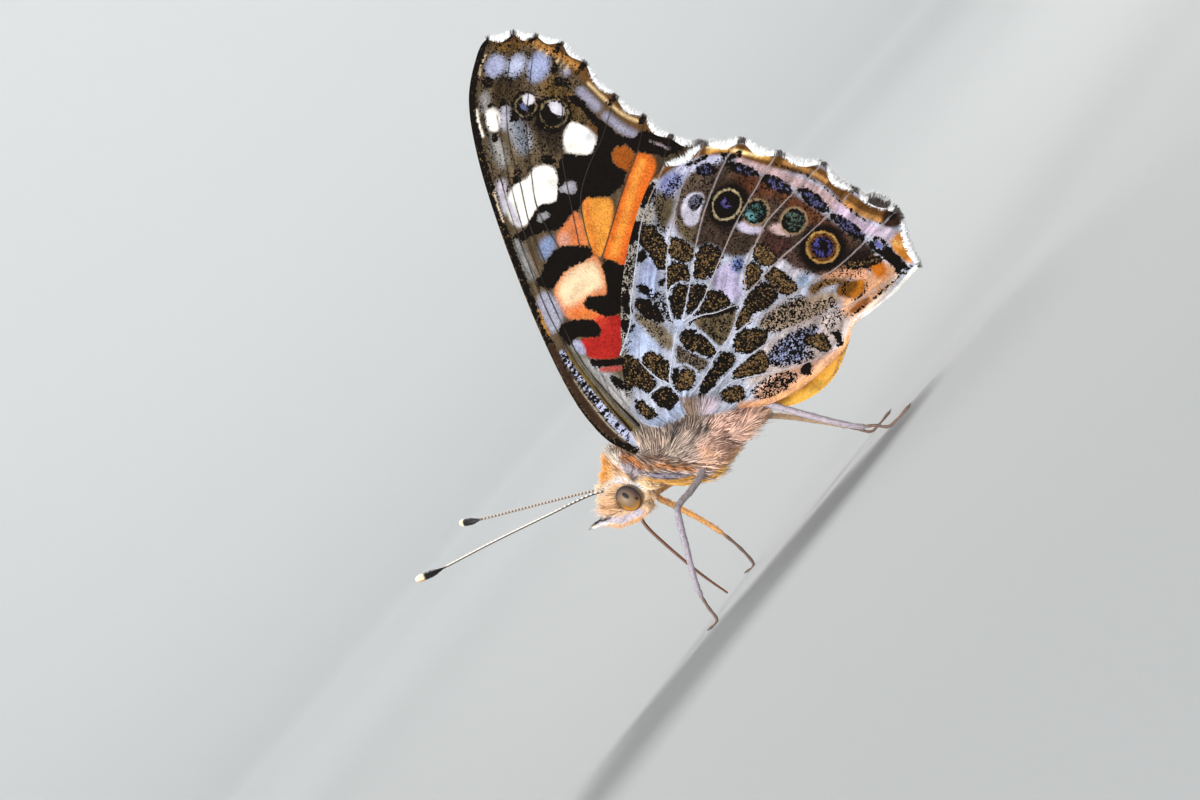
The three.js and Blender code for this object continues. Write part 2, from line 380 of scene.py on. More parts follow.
def joined(mesh, count):
    """That many copies of a mesh in one, one after another."""
    return applied(mesh, ("ARRAY", {"count": count, "use_relative_offset": False}))


# Wings
FOREWING_MIDPLANE = 0.42
HINDWING_MIDPLANE = 1.22
ROOT_SPREAD = 1.35
ROOT_HEIGHT = 12.2
CLOSED_HEIGHT = 17.5
MARGIN_FLARE = 0.35
WING_SKIN = 0.12  # thickness of a wing with its scales
VEIN_RADIUS = 0.078  # a vein stands a little proud of both faces
RIGHT_AHEAD = 0.3  # how much further forward the right wings are held


def spread(plane):
    """How far the wings stand out from their closed planes, round the thorax and abdomen."""
    x, z = plane[:, 0], plane[:, 1]
    beside = 1 - ease(z, ROOT_HEIGHT, CLOSED_HEIGHT)
    fade = 1 - 0.4 * ease(x, 2, 8) - 0.3 * ease(x, 12, 18)
    return ROOT_SPREAD * beside * fade + MARGIN_FLARE * ease(x, 4, 22)


def in_place(plane, depth, side):
    """Points of the side view, set this far out from the plane of symmetry on one side."""
    ahead = RIGHT_AHEAD if side > 0 else 0
    return np.stack([plane[:, 0] - ahead, side * depth, plane[:, 1]], 1)


FOREWING = {
    "front": (
        (-3.9, 12.1), (-4.5, 14.2), (-4.35, 16.4), (-3.3, 19.6), (-1.1, 24.4), (2.1, 30.3),
        (5.0, 34.8), (7.6, 37.75), (10.4, 39.35), (11.6, 39.5),
    ),
    "rear": ((0.2, 12.4), (4.0, 14.6), (9.0, 18.0), (13.0, 20.3), (16.0, 21.6)),
    "ends": (
        (11.6, 39.5), (13.1, 38.35), (14.0, 37.0), (14.8, 35.25), (14.85, 33.05), (14.45, 29.95),
        (14.75, 27.4), (14.95, 25.1), (16.05, 23.2), (16.0, 21.6),
    ),
    "scallop": 0.16,
    "fringe": 0.22,
    "face": FOREWING_MIDPLANE + 0.2,
    "dive": 0.3,
}


RIGHT_HANG = 1.15  # how much lower the right hindwing's inner fold hangs


def hindwing_shape(side):
    """A hindwing in side view; the right one's inner fold hangs lower."""
    hang = RIGHT_HANG if side > 0 else 0
    return {
        "front": (
            (-0.9, 11.3), (-1.75, 13.2), (-1.5, 14.7), (-0.5, 16.2), (2, 18.65), (4.9, 21),
            (8, 22.8), (11, 24), (13.1, 24.2),
        ),
        "rear": (
            (3.4, 8.9), (4.7, 7.7 - 0.8 * hang), (7.0, 6.6 - 1.1 * hang), (9.5, 6.1 - hang),
            (12, 6 - 0.2 * hang), (13.6, 6.6), (15.2, 6.25), (17.5, 5.9), (19.7, 5.85),
        ),
        "ends": (
            (13.1, 24.2), (16.1, 23.05), (18.1, 21.15), (19.15, 18.5), (20.6, 15.7), (20.7, 12.8),
            (21.6, 9.5), (19.7, 5.8),
        ),
        "scallop": 0.22,
        "fringe": 0.3,
        "face": HINDWING_MIDPLANE - 0.06,
        "dive": 0.6,
    }


def extent(shape):
    """The lowest corner of a wing's side view and its size."""
    points = np.array([*shape["front"], *shape["rear"], *shape["ends"]])
    return points.min(0), points.max(0) - points.min(0)


def bays(shape, v):
    """How far into the bay between two veins each place on the margin lies, from 0 to 1."""
    return np.sin(np.pi * ((v * (len(shape["ends"]) - 1)) % 1)) ** 2


def margin(shape, v, membrane=True):
    """Points of the outer margin, of the bare wing or of the ends of its fringe."""
    line = Line(shape["ends"])
    heading = line.heading(v)
    bay = bays(shape, v)
    dip = shape["scallop"] * bay
    if membrane:
        dip = dip + 0.08 + shape["fringe"] * bay ** 0.7
    return line.station(v) + np.stack([heading[:, 1], -heading[:, 0]], 1) * dip[:, None]


def wing_plane(shape, u, v):
    """The side view of a wing, from its root (u 0) to its margin (u 1), front (v 0) to rear (v 1)."""
    front, rear = Line(shape["front"]), Line(shape["rear"])
    corners = [np.array(shape[edge][k]) for edge in ("front", "rear") for k in (0, -1)]
    front_root, apex, rear_root, tornus = corners
    u, v = u[:, None], v[:, None]
    plane = front.at(u[:, 0]) * (1 - v) + rear.at(u[:, 0]) * v
    plane += (front_root * (1 - v) + rear_root * v) * (1 - u) + margin(shape, v[:, 0]) * u
    plane -= (front_root * (1 - v) + rear_root * v) * (1 - u) + (apex * (1 - v) + tornus * v) * u
    return plane


def wing_face(shape, plane, u=1.0):
    """How far the outer face stands from the plane of symmetry; the root dives into the thorax."""
    wave = 0.12 * (clouds(plane, 3.5, 3) - 0.5) + 0.05 * (clouds(plane, 1.1, 4) - 0.5)
    dive = (shape["dive"] + 0.14 * np.clip(plane[:, 0] + 0.9, 0, 4.3)) * (1 - ease(u, 0, 0.16))
    return shape["face"] + spread(plane) + wave - dive


WING_COLUMNS, WING_ROWS = 228, 212
RAYS = 60  # fine streaks side by side across a wing


def wing_mesh(name, shape, side):
    """A thin closed wing; also gives each point's side view, its place across and which face it is on."""
    bm = bmesh.new()
    bmesh.ops.create_grid(bm, x_segments=WING_COLUMNS, y_segments=WING_ROWS, size=0.5)
    bmesh.ops.solidify(bm, geom=bm.faces[:], thickness=1.0)
    mesh = as_mesh(name, bm)
    grid = points_of(mesh)
    height = grid[:, 2]
    inner = (height - height.min()) / (height.max() - height.min())
    u, v = np.clip(grid[:, 0] + 0.5, 0, 1), np.clip(grid[:, 1] + 0.5, 0, 1)
    plane = wing_plane(shape, u, v)
    edge = np.minimum(np.minimum(u, 1 - u), np.minimum(v, 1 - v))
    skin = WING_SKIN * (0.45 + 0.55 * ease(edge, 0, 0.03))
    set_points(mesh, in_place(plane, wing_face(shape, plane, u) - skin * inner, side))
    face_outwards(mesh)
    flat = (plane - plane.min(0)) / (plane.max(0) - plane.min(0))
    # The outer face takes one half of the map and the inner face the other
    store_map(mesh, np.stack([flat[:, 0] * 0.49 + 0.5 * inner, flat[:, 1] * 0.98 + 0.01], 1))
    return mesh, plane, v * RAYS, inner > 0.5


# The hindwing's underside, drawn as it is seen from the left
# How far the near wings' marks look shifted in the photo
NEARER_HIND, NEARER_FORE = (0.28, 0.2), (0.12, 0.05)
HINDWING_VEINS = (
    ((0.4, 17.35), (2.6, 18.3), (3.8, 19.3), (4.6, 19.8), (7, 21.4), (8.2, 22.2), (9.9, 23), (12.8, 23.9)),
    ((1.35, 11.9), (1.38, 13.3), (2.7, 14.4), (3.5, 14.95), (4.9, 15.7)),
    ((1.38, 13.4), (1.1, 14.2), (1, 15), (1.02, 16.1)),
    ((-0.25, 14), (0.4, 13.9), (1.2, 13.65)),
    ((4.75, 16.2), (5.8, 17.6), (7.6, 19.2), (9, 20.15), (11.2, 21.4), (12.9, 22.1), (16, 22.85)),
    ((5.2, 15.6), (6.5, 16.35), (8.5, 17.55), (10, 18.5), (12.5, 19.75), (15.85, 20.85), (17.75, 21.06)),
    ((5.2, 15.65), (6, 15.45), (7.2, 15.5), (9, 16.1), (11, 16.75), (13.7, 17.55), (18.8, 18.5)),
    ((5.2, 15.4), (6, 15.15), (6.6, 14.85), (7.3, 14.3), (8.3, 13.8), (8.9, 13.5)),
    ((1.5, 11.8), (3.07, 11.9), (4.2, 12.05), (5.07, 12.35), (6.45, 12.4), (8.1, 12.92), (9.66, 13.5)),
    ((9.7, 13.5), (10.7, 14.5), (11.6, 15), (13.3, 15.5), (15.07, 15.85), (20.25, 15.6)),
    ((9.6, 13.5), (10.7, 13.5), (13.3, 13.4), (15.2, 13.15), (18.1, 12.87), (20.4, 12.75)),
    ((6.7, 12.35), (8.1, 12.14), (10, 11.6), (12, 11.1), (14, 10.5), (16, 9.9), (21.3, 9.5)),
    ((3.07, 10.84), (4.2, 10.8), (6.6, 10.5), (8.8, 9.97), (10, 9.6), (12, 8.7), (15, 7.2), (19, 6.2)),
    ((3.3, 10.4), (4.2, 10.28), (5.07, 9.8), (6.8, 8.5), (8.5, 7.37), (10.3, 6.5), (11.1, 6.16)),
)
HINDWING_WEB = (
    ((4, 15.2), (3.95, 14.2), (4.3, 13.3), (4.6, 12.4)),
    ((5.15, 15.2), (5.62, 14.2), (5.6, 13), (5.35, 12.4)),
    ((2.4, 14), (3.1, 13.6), (3.35, 12.9), (3.3, 12.3)),
    ((5, 16.4), (5.6, 17.4), (6.3, 17.8), (7.2, 17.6), (7.9, 16.9), (8.4, 16)),
    ((3, 17.2), (2.95, 18.3), (3.2, 18.6)),
)
# Each dark blotch: its share of gold scales, then its outline
HINDWING_BLOTCHES = (
    (0.5, (
        (-1.6, 13.4), (-1.5, 14.1), (-1.2, 14.35), (-0.9, 14.1), (-0.82, 13.2), (-1, 12.6), (-1.4, 12.7),
    )),
    (0.42, (
        (-1.15, 15.2), (-0.85, 15.9), (-0.3, 16.6), (0.15, 17.1), (0.6, 17.1), (0.93, 16.6), (0.97, 15.9),
        (0.93, 15), (0.75, 14.2), (0.3, 14.05), (-0.1, 14.25), (-0.38, 14.8), (-0.4, 15.4),
    )),
    (0.5, (
        (1.12, 15.5), (1.3, 16), (1.7, 16.15), (2.1, 15.9), (2.35, 15.1), (2.4, 14.5), (2, 14),
        (1.42, 13.5), (1.18, 14.3),
    )),
    (0.2, (
        (-0.25, 13.85), (0.4, 13.8), (1.1, 13.5), (1.22, 12.9), (1.15, 12.3), (0.6, 12.2), (-0.1, 12.3),
    )),
    (0.85, (
        (1.5, 12.8), (1.75, 13.25), (2.4, 13.45), (3, 13.2), (3.2, 12.7), (2.8, 12.25), (2.1, 12.15),
        (1.65, 12.4),
    )),
    (0.1, ((1.55, 13.2), (1.9, 13.5), (2.5, 13.85), (2.35, 13.45), (1.9, 13.2))),
    (0.35, (
        (4.08, 14.3), (4.3, 15), (4.8, 15.15), (5.15, 14.85), (5.5, 14), (5.52, 13.1), (5.3, 12.5),
        (4.85, 12.45), (4.45, 13.1), (4.1, 13.8),
    )),
    (0.3, (
        (5.05, 16.1), (5.5, 17), (6, 17.5), (6.7, 17.55), (7.2, 17.25), (7.5, 16.95), (6.4, 16.4),
        (5.6, 15.95),
    )),
    (0.25, (
        (5.7, 15.8), (6.5, 16.25), (7.5, 16.85), (7.95, 16.6), (8.25, 16.1), (8.1, 15.8), (7.2, 15.62),
        (6.2, 15.6),
    )),
    (0.35, (
        (6, 15.35), (7.2, 15.4), (8.2, 15.65), (8.6, 15.2), (8.75, 14.3), (8.5, 13.85), (7.9, 14.1),
        (7.2, 14.6), (6.6, 15.1),
    )),
    (0.1, (
        (3.72, 18.3), (3.9, 19), (4.3, 19.1), (4.65, 18.5), (4.72, 17.6), (4.5, 16.8), (4.2, 16.7),
        (3.85, 17.3),
    )),
    (0.5, (
        (7.35, 20.4), (7.4, 21.3), (7.8, 22), (8.5, 22.1), (8.95, 21.8), (8.9, 20.9), (8.6, 20.5),
        (8.75, 20.1), (8.2, 19.7), (7.2, 19.1), (6.85, 19.4),
    )),
    (0.7, (
        (8.5, 19.85), (9.1, 20.2), (9.5, 19.8), (9.65, 18.9), (9.55, 18.25), (8.9, 18), (8.35, 18.6),
        (8.15, 19.2),
    )),
    (0.5, (
        (6.1, 17.8), (6.9, 18.65), (7.6, 19), (8.1, 18.75), (8.4, 18.1), (8.1, 17.45), (7.6, 17.15),
        (7, 17.75),
    )),
    (0.5, (
        (8.15, 17.15), (9.3, 17.85), (10.2, 18.2), (10.75, 17.6), (10.85, 16.75), (9.9, 16.4), (9, 16.35),
        (8.5, 16.4),
    )),
    (0, ((1.9, 18.35), (2.1, 18.8), (2.5, 18.85), (2.75, 18.4), (2.6, 17.95), (2.25, 17.9))),
    (0, ((3, 18.9), (3.3, 19.6), (3.9, 20), (4.2, 19.8), (3.7, 19.2), (3.2, 18.75))),
    (0, ((6.9, 22.05), (7.6, 22.5), (8.2, 22.85), (8.6, 22.5), (8.2, 22.15), (7.5, 21.9))),
    (0, ((6.45, 20.9), (6.85, 21.15), (7.2, 21), (7, 20.6), (6.65, 20.55))),
    (0, ((6.15, 18.55), (6.35, 18.8), (6.65, 18.55), (6.4, 18.35))),
    (0, ((4.9, 19.4), (5.15, 19.7), (5.35, 19.4), (5.2, 18.8), (5, 18.9))),
    (0.2, ((9.4, 23.1), (10.4, 23.7), (11.4, 23.7), (10.8, 23.25), (10, 23))),
    (0.75, ((9.85, 13.8), (10.7, 14.45), (11.7, 14.95), (11.95, 14.2), (11.7, 13.65), (10.7, 13.6))),
    (0.95, (
        (12.05, 14.9), (12.6, 15.25), (13.05, 15.25), (13.3, 14.4), (13.2, 13.6), (12.4, 13.55),
        (12.05, 14.2),
    )),
    (0.3, (
        (9.1, 13.1), (9.9, 13.4), (11.25, 13.35), (11.4, 12.6), (11.35, 11.75), (10.4, 11.75), (9.4, 12.1),
        (8.9, 12.5),
    )),
    (0.85, (
        (11.5, 12.3), (11.5, 13.2), (11.9, 13.4), (12.6, 13.3), (12.7, 12.6), (12.6, 12.1), (12.75, 11.4),
        (12.4, 11.05), (11.7, 11.3),
    )),
    (0.8, ((7.3, 12.45), (8.3, 12.9), (9, 13.1), (9.1, 12.5), (8.7, 12.1), (8, 12.2))),
    (0.25, (
        (2, 11.15), (2.7, 11.65), (4, 11.85), (5.05, 12.05), (5.7, 12.1), (5.9, 11.4), (5.6, 11),
        (4.2, 11.1), (3, 11),
    )),
    (0.5, (
        (6.2, 11.5), (6.9, 12.1), (7.7, 12), (8.3, 11.5), (8.75, 10.7), (8.3, 10.3), (7.4, 10.45),
        (6.6, 10.75), (6.5, 11.1),
    )),
    (0.7, ((3, 10.2), (3.6, 10.3), (4.2, 10.05), (4.65, 9.5), (4.4, 8.9), (3.7, 9), (3.1, 9.4))),
    (0.8, (
        (4.6, 10.4), (5.4, 10.55), (6.6, 10.35), (7.5, 10.05), (7.4, 9.5), (7, 9), (6.4, 8.95),
        (5.7, 9.45), (5.1, 9.9),
    )),
    (0.9, ((10, 8.4), (10.6, 8.2), (11.4, 7.5), (11.1, 7), (10.8, 6.5), (10.4, 6.7), (10.2, 7.4))),
    (0, ((8.15, 6.8), (8.5, 7.2), (9.1, 6.95), (8.8, 6.6), (8.4, 6.5))),
    (0, ((11.7, 7.3), (12.1, 7.05), (12, 6.5), (11.6, 6.1), (11.4, 6.3), (11.75, 6.75))),
)
HINDWING_OCELLI = ((12.3, 20.55), (13.62, 18.75), (14.56, 16.85), (15.92, 14.45), (15.88, 11.7))
# Dark lozenges before the margin: centre, radii and turn
HINDWING_LOZENGES = (
    ((14.5, 21.5), (0.6, 0.4), -45), ((16.3, 19.5), (0.27, 0.85), 22), ((17.07, 17.05), (0.4, 1.0), 14),
    ((17.97, 14.35), (0.38, 1.15), 4), ((18.2, 11.25), (0.34, 1.3), 5),
)


def hindwing_underside(plane, rays):
    p = Pattern(plane, "#b4b7c6", NEARER_HIND)
    p.wash("#aeb9d2", p.line(((-1.4, 12.6), (-0.6, 11.9), (0.6, 11.8), (1.6, 12.2)), 0.5), 0.4)
    # Broad zones of the ground
    p.wash("#b3a898", (
        (-2, 14), (0, 17.4), (5, 21.3), (9, 23.6), (13.4, 24.4), (9, 22.9), (4, 19.6), (0, 16.4),
    ), 0.3)
    p.wash("#b4c0dd", (
        (1.1, 16.4), (0.9, 17.4), (2.2, 18.1), (2.9, 18.2), (2.9, 16.2), (2.6, 15.3), (2.4, 16),
    ), 0.3)
    p.wash("#aab3d6", ((4.7, 19.4), (6.8, 20.8), (7.2, 19.8), (6.1, 18.7), (5.5, 18.4), (4.8, 18.4)), 0.4)
    p.wash("#84745f", ((2.95, 15), (2.95, 17.9), (3.5, 18.7), (4, 16.6), (4, 15.6), (3.6, 15)), 0.25)
    p.wash("#77685a", ((2.8, 13.9), (3.7, 14.9), (4.2, 14.3), (4.1, 13.4), (4.6, 12.4), (3.4, 12.3)), 0.2)
    p.wash("#665740", (
        (5.7, 15), (6.4, 15), (7.6, 14.2), (8.7, 13.5), (7.6, 12.8), (6.5, 12.5), (5.75, 12.5),
        (5.8, 13.8),
    ), 0.12)
    p.wash("#6d5d45", ((9.1, 20.9), (9.6, 22), (10.4, 23), (11.4, 22.9), (11.9, 22), (10.4, 21)), 0.35)
    p.wash("#b5aca0", ((8.5, 22.3), (9.7, 23.2), (10.2, 22.8), (9, 21.7)), 0.3)
    p.wash("#8286b4", ((11.2, 22.3), (11.5, 23.4), (12.8, 23.3), (13.5, 22.4), (12.2, 21.95)), 0.35)
    p.wash("#c4c0d4", p.line(((9, 20.6), (10.6, 20.5), (12, 22)), 0.22), 0.3, 0.6)
    p.wash("#b5abc8", ((8.5, 16), (10, 16.3), (10.9, 15.7), (10.2, 14.4), (9.3, 13.6), (8.7, 14)), 0.25)
    # The brown field round the eyespots, redder towards the margin
    field = p.patch((
        (9.8, 18.9), (9.9, 20.2), (11, 21.4), (13.2, 22.1), (14.9, 21.9), (16.2, 20.6), (16.6, 19.2),
        (16.7, 17.5), (17.5, 14.3), (17.8, 11), (18.3, 9.4), (17.6, 8), (16.2, 8.3), (15.2, 9.4),
        (14.4, 10.4), (13.6, 11.4), (13.3, 13.6), (12.9, 15.4), (11.9, 15.3), (11.2, 15.9), (10.9, 16.5),
        (10.8, 17.9), (9.9, 18.3),
    ))
    p.wash("#4b3b30", field, 0.25)
    p.wash("#74634a", ((9.8, 18.7), (9.7, 20), (10.6, 20.9), (11.2, 20.2), (10.8, 19.2)), 0.3, 0.8)
    p.wash("#5a4a3d", ((11, 21.3), (13, 22.1), (14.2, 21.8), (13.8, 20.8), (12.2, 21.4)), 0.3)
    p.wash("#5f3823", p.oval((15.9, 18.2), (0.7, 1.5), 15), 0.35)
    p.wash("#6b3f26", p.oval((17, 14.3), (0.55, 3.2), 6), 0.35)
    p.wash("#4a2f28", p.oval((13.9, 14.2), (0.9, 1.2)), 0.35)
    p.wash("#5f463f", p.oval((13.75, 12.2), (0.5, 1.1), -15), 0.3)
    p.wash("#221611", p.oval((16.9, 9.4), (1.2, 0.75), -35), 0.4)
    p.wash("#5b6c9e", p.oval((10.9, 15.35), (0.55, 0.42), 20), 0.25)
    p.wash("#c6bfc8", (
        (12.75, 13.3), (13.4, 13.3), (13.35, 12.3), (13.9, 11.3), (14, 10.8), (12.85, 10.9), (12.85, 12.2),
    ), 0.22)
    p.wash("#9fb1cd", p.oval((13.25, 11.1), (0.5, 0.5)), 0.3)
    # The rear: fold, tornus and the pale rays that run to it
    p.wash("#9b8672", ((8.5, 11.6), (10.8, 11.4), (13.8, 9.4), (14.4, 8.2), (12.2, 8.6), (9, 10.2)), 0.3)
    p.wash("#c9ab93", ((4.5, 9), (9, 6.6), (14, 6.2), (15, 7.2), (12, 8.7), (9, 10), (7, 10.3)), 0.5, 0.6)
    p.wash("#8f94b4", ((7.2, 9.6), (9.8, 9.4), (11.8, 8), (10, 8.2), (9.3, 7.2), (7.5, 8.4)), 0.3)
    p.wash("#cf9f84", ((4.6, 8.6), (7.2, 8.2), (9.2, 6.9), (11.5, 6.1), (8, 6.2), (5, 7.4)), 0.3)
    p.wash("#dca37c", ((13, 7.4), (14.6, 8.6), (16.4, 8), (18.2, 7.6), (18.2, 6.4), (14.4, 6.3)), 0.35)
    p.wash("#d79b78", p.line(((14.6, 10.2), (15.6, 9.2), (16.3, 8.3)), 0.42), 0.3)
    p.wash("#84623c", p.line(((13.2, 10.2), (14, 9.95), (14.7, 9.4), (15.1, 8.9)), 0.36, 0.2), 0.18)
    p.specks(0.35, p.line(((13.2, 10.2), (14, 9.95), (14.7, 9.4)), 0.3), 0.18)
    p.wash("#6f4616", (
        (14, 8.8), (14.6, 9.1), (15.3, 8.7), (16, 8.1), (15.8, 7.6), (15.1, 7.45), (14.5, 7.8),
    ), 0.12)
    p.wash("#d27c20", p.line(((14.8, 7.85), (15.3, 7.75), (15.8, 8)), 0.2), 0.2)
    p.wash("#9c5c2c", ((13.6, 7.3), (14.9, 7.2), (15.4, 6.9), (15.1, 6.65), (14, 6.9)), 0.12)
    # Lilac and pink before the margin, then the brown and gold margin itself
    p.wash("#b6b4cb", p.line(((13.4, 22.8), (14.6, 22.2), (15.5, 21.5)), 0.4), 0.25)
    p.wash("#c4a5a6", p.line((
        (16.8, 20.1), (17.3, 18.4), (17.85, 16.8), (18.55, 14.6), (18.8, 12.3),
    ), 0.42), 0.2)
    p.wash("#bfa9bd", p.line(((18.8, 12.6), (18.85, 10.8), (19.2, 9.6), (19.6, 8.8)), 0.42), 0.25)
    brim = p.line((
        (12, 24), (14, 23.5), (15.6, 22.5), (17, 20.9), (17.8, 19.1), (18.5, 17.7), (19.3, 16.2),
        (19.75, 14.4), (19.7, 12.4), (20, 10.8), (20.6, 9.4),
    ), 0.5)
    p.wash("#6b4620", brim, 0.16)
    # Gold lines along the margin: gold scales, brightened with painted glow of light shining through the
    # margin
    p.wash("#f2b45c", p.line(((15.6, 22.2), (16.5, 21.5), (17.4, 19.9), (18.1, 18.7)), 0.16), 0.14, 0.85)
    p.wash("#dca060", p.line(((18.6, 17.6), (19.3, 16), (19.6, 14.6)), 0.14), 0.14, 0.7)
    p.wash("#c68e50", p.line(((19.3, 12.6), (19.5, 11.2), (20, 10)), 0.2), 0.14, 0.8)
    p.wash("#b7a9b6", p.oval((19.4, 8.85), (0.7, 0.6)), 0.25)
    p.wash("#e39034", ((19.1, 8.1), (20.3, 8.5), (20.2, 7.4), (19.6, 6.4), (19.1, 6.3), (19, 7.2)), 0.2)
    p.wash("#f2b568", p.line(((19.5, 8.2), (19.7, 7.6)), 0.2), 0.2)
    p.wash("#2c1c13", ((19.9, 9.5), (20.5, 10.1), (21.5, 9.9), (21.7, 9.1), (20.7, 8.6), (20.1, 9)), 0.15)
    p.wash("#c26b1c", p.oval((17.4, 7.8), (0.55, 0.8), -25), 0.2)
    p.wash("#f0d6c0", p.line(((14.2, 6.45), (16.5, 6.3), (18.2, 6.4)), 0.14), 0.14)
    # A peach band along the inner edge: partly its own colour, partly painted glow of light shining through
    # the thin edge
    p.wash("#f4b489", p.line((
        (3.6, 8.4), (4.7, 7.5), (7, 6.5), (9.5, 5.9), (12, 5.8), (13.4, 6.3),
    ), 0.42), 0.25)
    p.wash("#fffaf2", (
        (13.5, 6.45), (15.2, 6.05), (17.5, 5.85), (19.6, 5.95), (20.2, 4.8), (13.5, 4.8),
    ), 0.08)
    # Painted glints: bright yellow-white light shining through the margin
    p.wash("#fff0c4", p.line(((15.8, 22.4), (16.3, 21.9), (16.7, 21.4)), 0.1), 0.1)
    p.wash("#ffe6a8", p.line(((16.9, 20.9), (17.3, 20.1), (17.8, 19.3)), 0.11), 0.1)
    p.streaks(rays, 0.35, 61)
    p.streaks(rays * 2.3, 0.25, 62)
    # Specks of black scales
    p.specks(0.4, p.line(((-1.2, 15.3), (2, 18.5), (5, 20.9), (8, 22.7)), 0.35))
    p.specks(0.6, p.line(((4.2, 20), (6.3, 21.2)), 0.3), 0.15)
    p.specks(0.3, p.line(((6.6, 21.2), (9, 22.6), (11, 23.6)), 0.4), 0.3)
    p.specks(0.6, (
        (4.6, 16.1), (4.8, 17.8), (5, 19.4), (5.4, 19), (5.5, 18.4), (5.9, 18.1), (5.5, 17.3),
        (4.95, 16.4),
    ), 0.2)
    p.specks(0.38, ((2.8, 13.9), (3.7, 14.9), (4.2, 14.3), (4.1, 13.4), (4.6, 12.4), (3.4, 12.3)), 0.15)
    p.specks(0.25, ((2.95, 14.8), (2.95, 17.9), (3.6, 18.6), (4, 16.6)), 0.2)
    p.specks(0.3, ((5.7, 15), (7.6, 14.2), (8.7, 13.5), (6.5, 12.5), (5.75, 12.5)), 0.2)
    p.specks(0.55, (
        (7.2, 9.7), (9.8, 9.5), (11.9, 8.2), (10, 8.2), (9.7, 6.9), (8.6, 7.4), (7.2, 8.6),
    ), 0.15)
    p.specks(0.5, ((4.7, 8.9), (6.6, 8.5), (7.9, 7.4), (7.7, 6.8), (5.6, 7.3), (4.6, 8.1)), 0.15)
    p.specks(0.5, ((8.7, 11.5), (10, 11.5), (12.2, 10.9), (12.4, 10), (10.5, 9.7), (8.7, 10.3)), 0.2)
    p.specks(0.38, ((10, 9.7), (12.2, 9.9), (13.8, 8.8), (13.4, 8), (11.6, 8.9)), 0.2)
    p.specks(0.4, p.oval((12.2, 22.6), (0.8, 0.45)), 0.2)
    p.specks(0.4, p.oval((10.9, 15.35), (0.5, 0.4)), 0.2)
    p.specks(0.4, p.line(((13.4, 21.4), (15.4, 20.9)), 0.35), 0.2)
    p.specks(0.4, p.line(((9.3, 21.2), (10.6, 22.6), (11.4, 22.4)), 0.4), 0.3)
    p.specks(0.35, ((11.3, 7.9), (12.8, 8.7), (13.6, 7.8), (12.8, 7.1)), 0.15)
    p.specks(0.5, p.oval((13.1, 7.6), (0.5, 0.25), -40), 0.1)
    p.specks(0.35, p.line(((15.9, 8.7), (14.9, 8.8), (14.4, 8.2)), 0.16), 0.1)
    p.specks(0.2, field, 0.2)
    # Dark blotches, with the edge of each blotch left black and ragged
    jitter = (clouds(p.plane, 0.25, 21) - 0.5) * 0.12
    for gold, outline in HINDWING_BLOTCHES:
        p.dark(p.patch(outline, grow=0.1) + jitter, gold)
    p.dark(p.line(((5.5, 15.15), (6.2, 15.05), (7.1, 14.35), (8.6, 13.45)), 0.14, 0.2) + jitter)
    p.dark(p.line(((13.8, 22.75), (14.4, 22.45), (15.2, 22.1)), 0.13) + jitter)
    p.dark(p.oval((16.15, 21.15), (0.35, 0.2), -10), 0.2)
    p.dark(p.line(((16.2, 20.8), (16.95, 20.45)), 0.18), 0.2)
    p.dark(p.line((
        (18.05, 18.2), (18.5, 17), (19, 15.7), (19.15, 14), (19.2, 12.5), (19.3, 10.8), (19.9, 9.75),
    ), 0.04))
    p.dark(p.patch((
        (18.15, 9.4), (19, 9.5), (19.05, 8.3), (18.9, 7), (18.7, 6.1), (18, 6.3), (18.25, 7.4),
        (18.1, 8.4),
    )) + jitter)
    p.bare("#6468a8", p.oval((18.62, 8.85), (0.24, 0.36)))
    p.dark(p.line(((16.3, 9.4), (17.2, 8.6), (17.8, 8.2)), 0.36, 0.3), 0.55)
    p.dark(p.line(((14.3, 7.75), (15, 7.4), (15.8, 7.5), (16.15, 7.9)), 0.05))
    p.dark(p.line(((13.6, 6.95), (15.5, 6.6), (18, 6.25), (19.2, 6.05)), 0.05), 0.4)
    for x, z in ((19.1, 18.25), (20.45, 15.75), (20.3, 12.75), (20.9, 9.45), (17.9, 21.0), (16.0, 22.9)):
        p.dark(p.oval((x, z), (0.3, 0.16)), 0.35)
    for centre, radii, turn in HINDWING_LOZENGES:
        p.wash("#5a5a86", p.oval(centre, radii, turn), 0.1)
        p.dark(p.ring(centre, radii, 0.07, turn) + jitter * 0.5)
        p.specks(0.5, p.oval(centre, radii, turn), 0.1)
    hindwing_eyespots(p)
    for line in HINDWING_WEB:
        p.bare("#bcc3d6", p.line(line, 0.07), 0.06)
    for line in HINDWING_VEINS:
        p.bare("#aeb0bf", p.line(line, 0.05, 0.02), 0.05)
    p.bare("#b4bcd4", p.oval((4.85, 15.6), (0.55, 0.34), 20), 0.15)
    p.ground *= (0.66 + 0.34 * clouds(p.plane, 0.55, 11))[:, None]
    return p


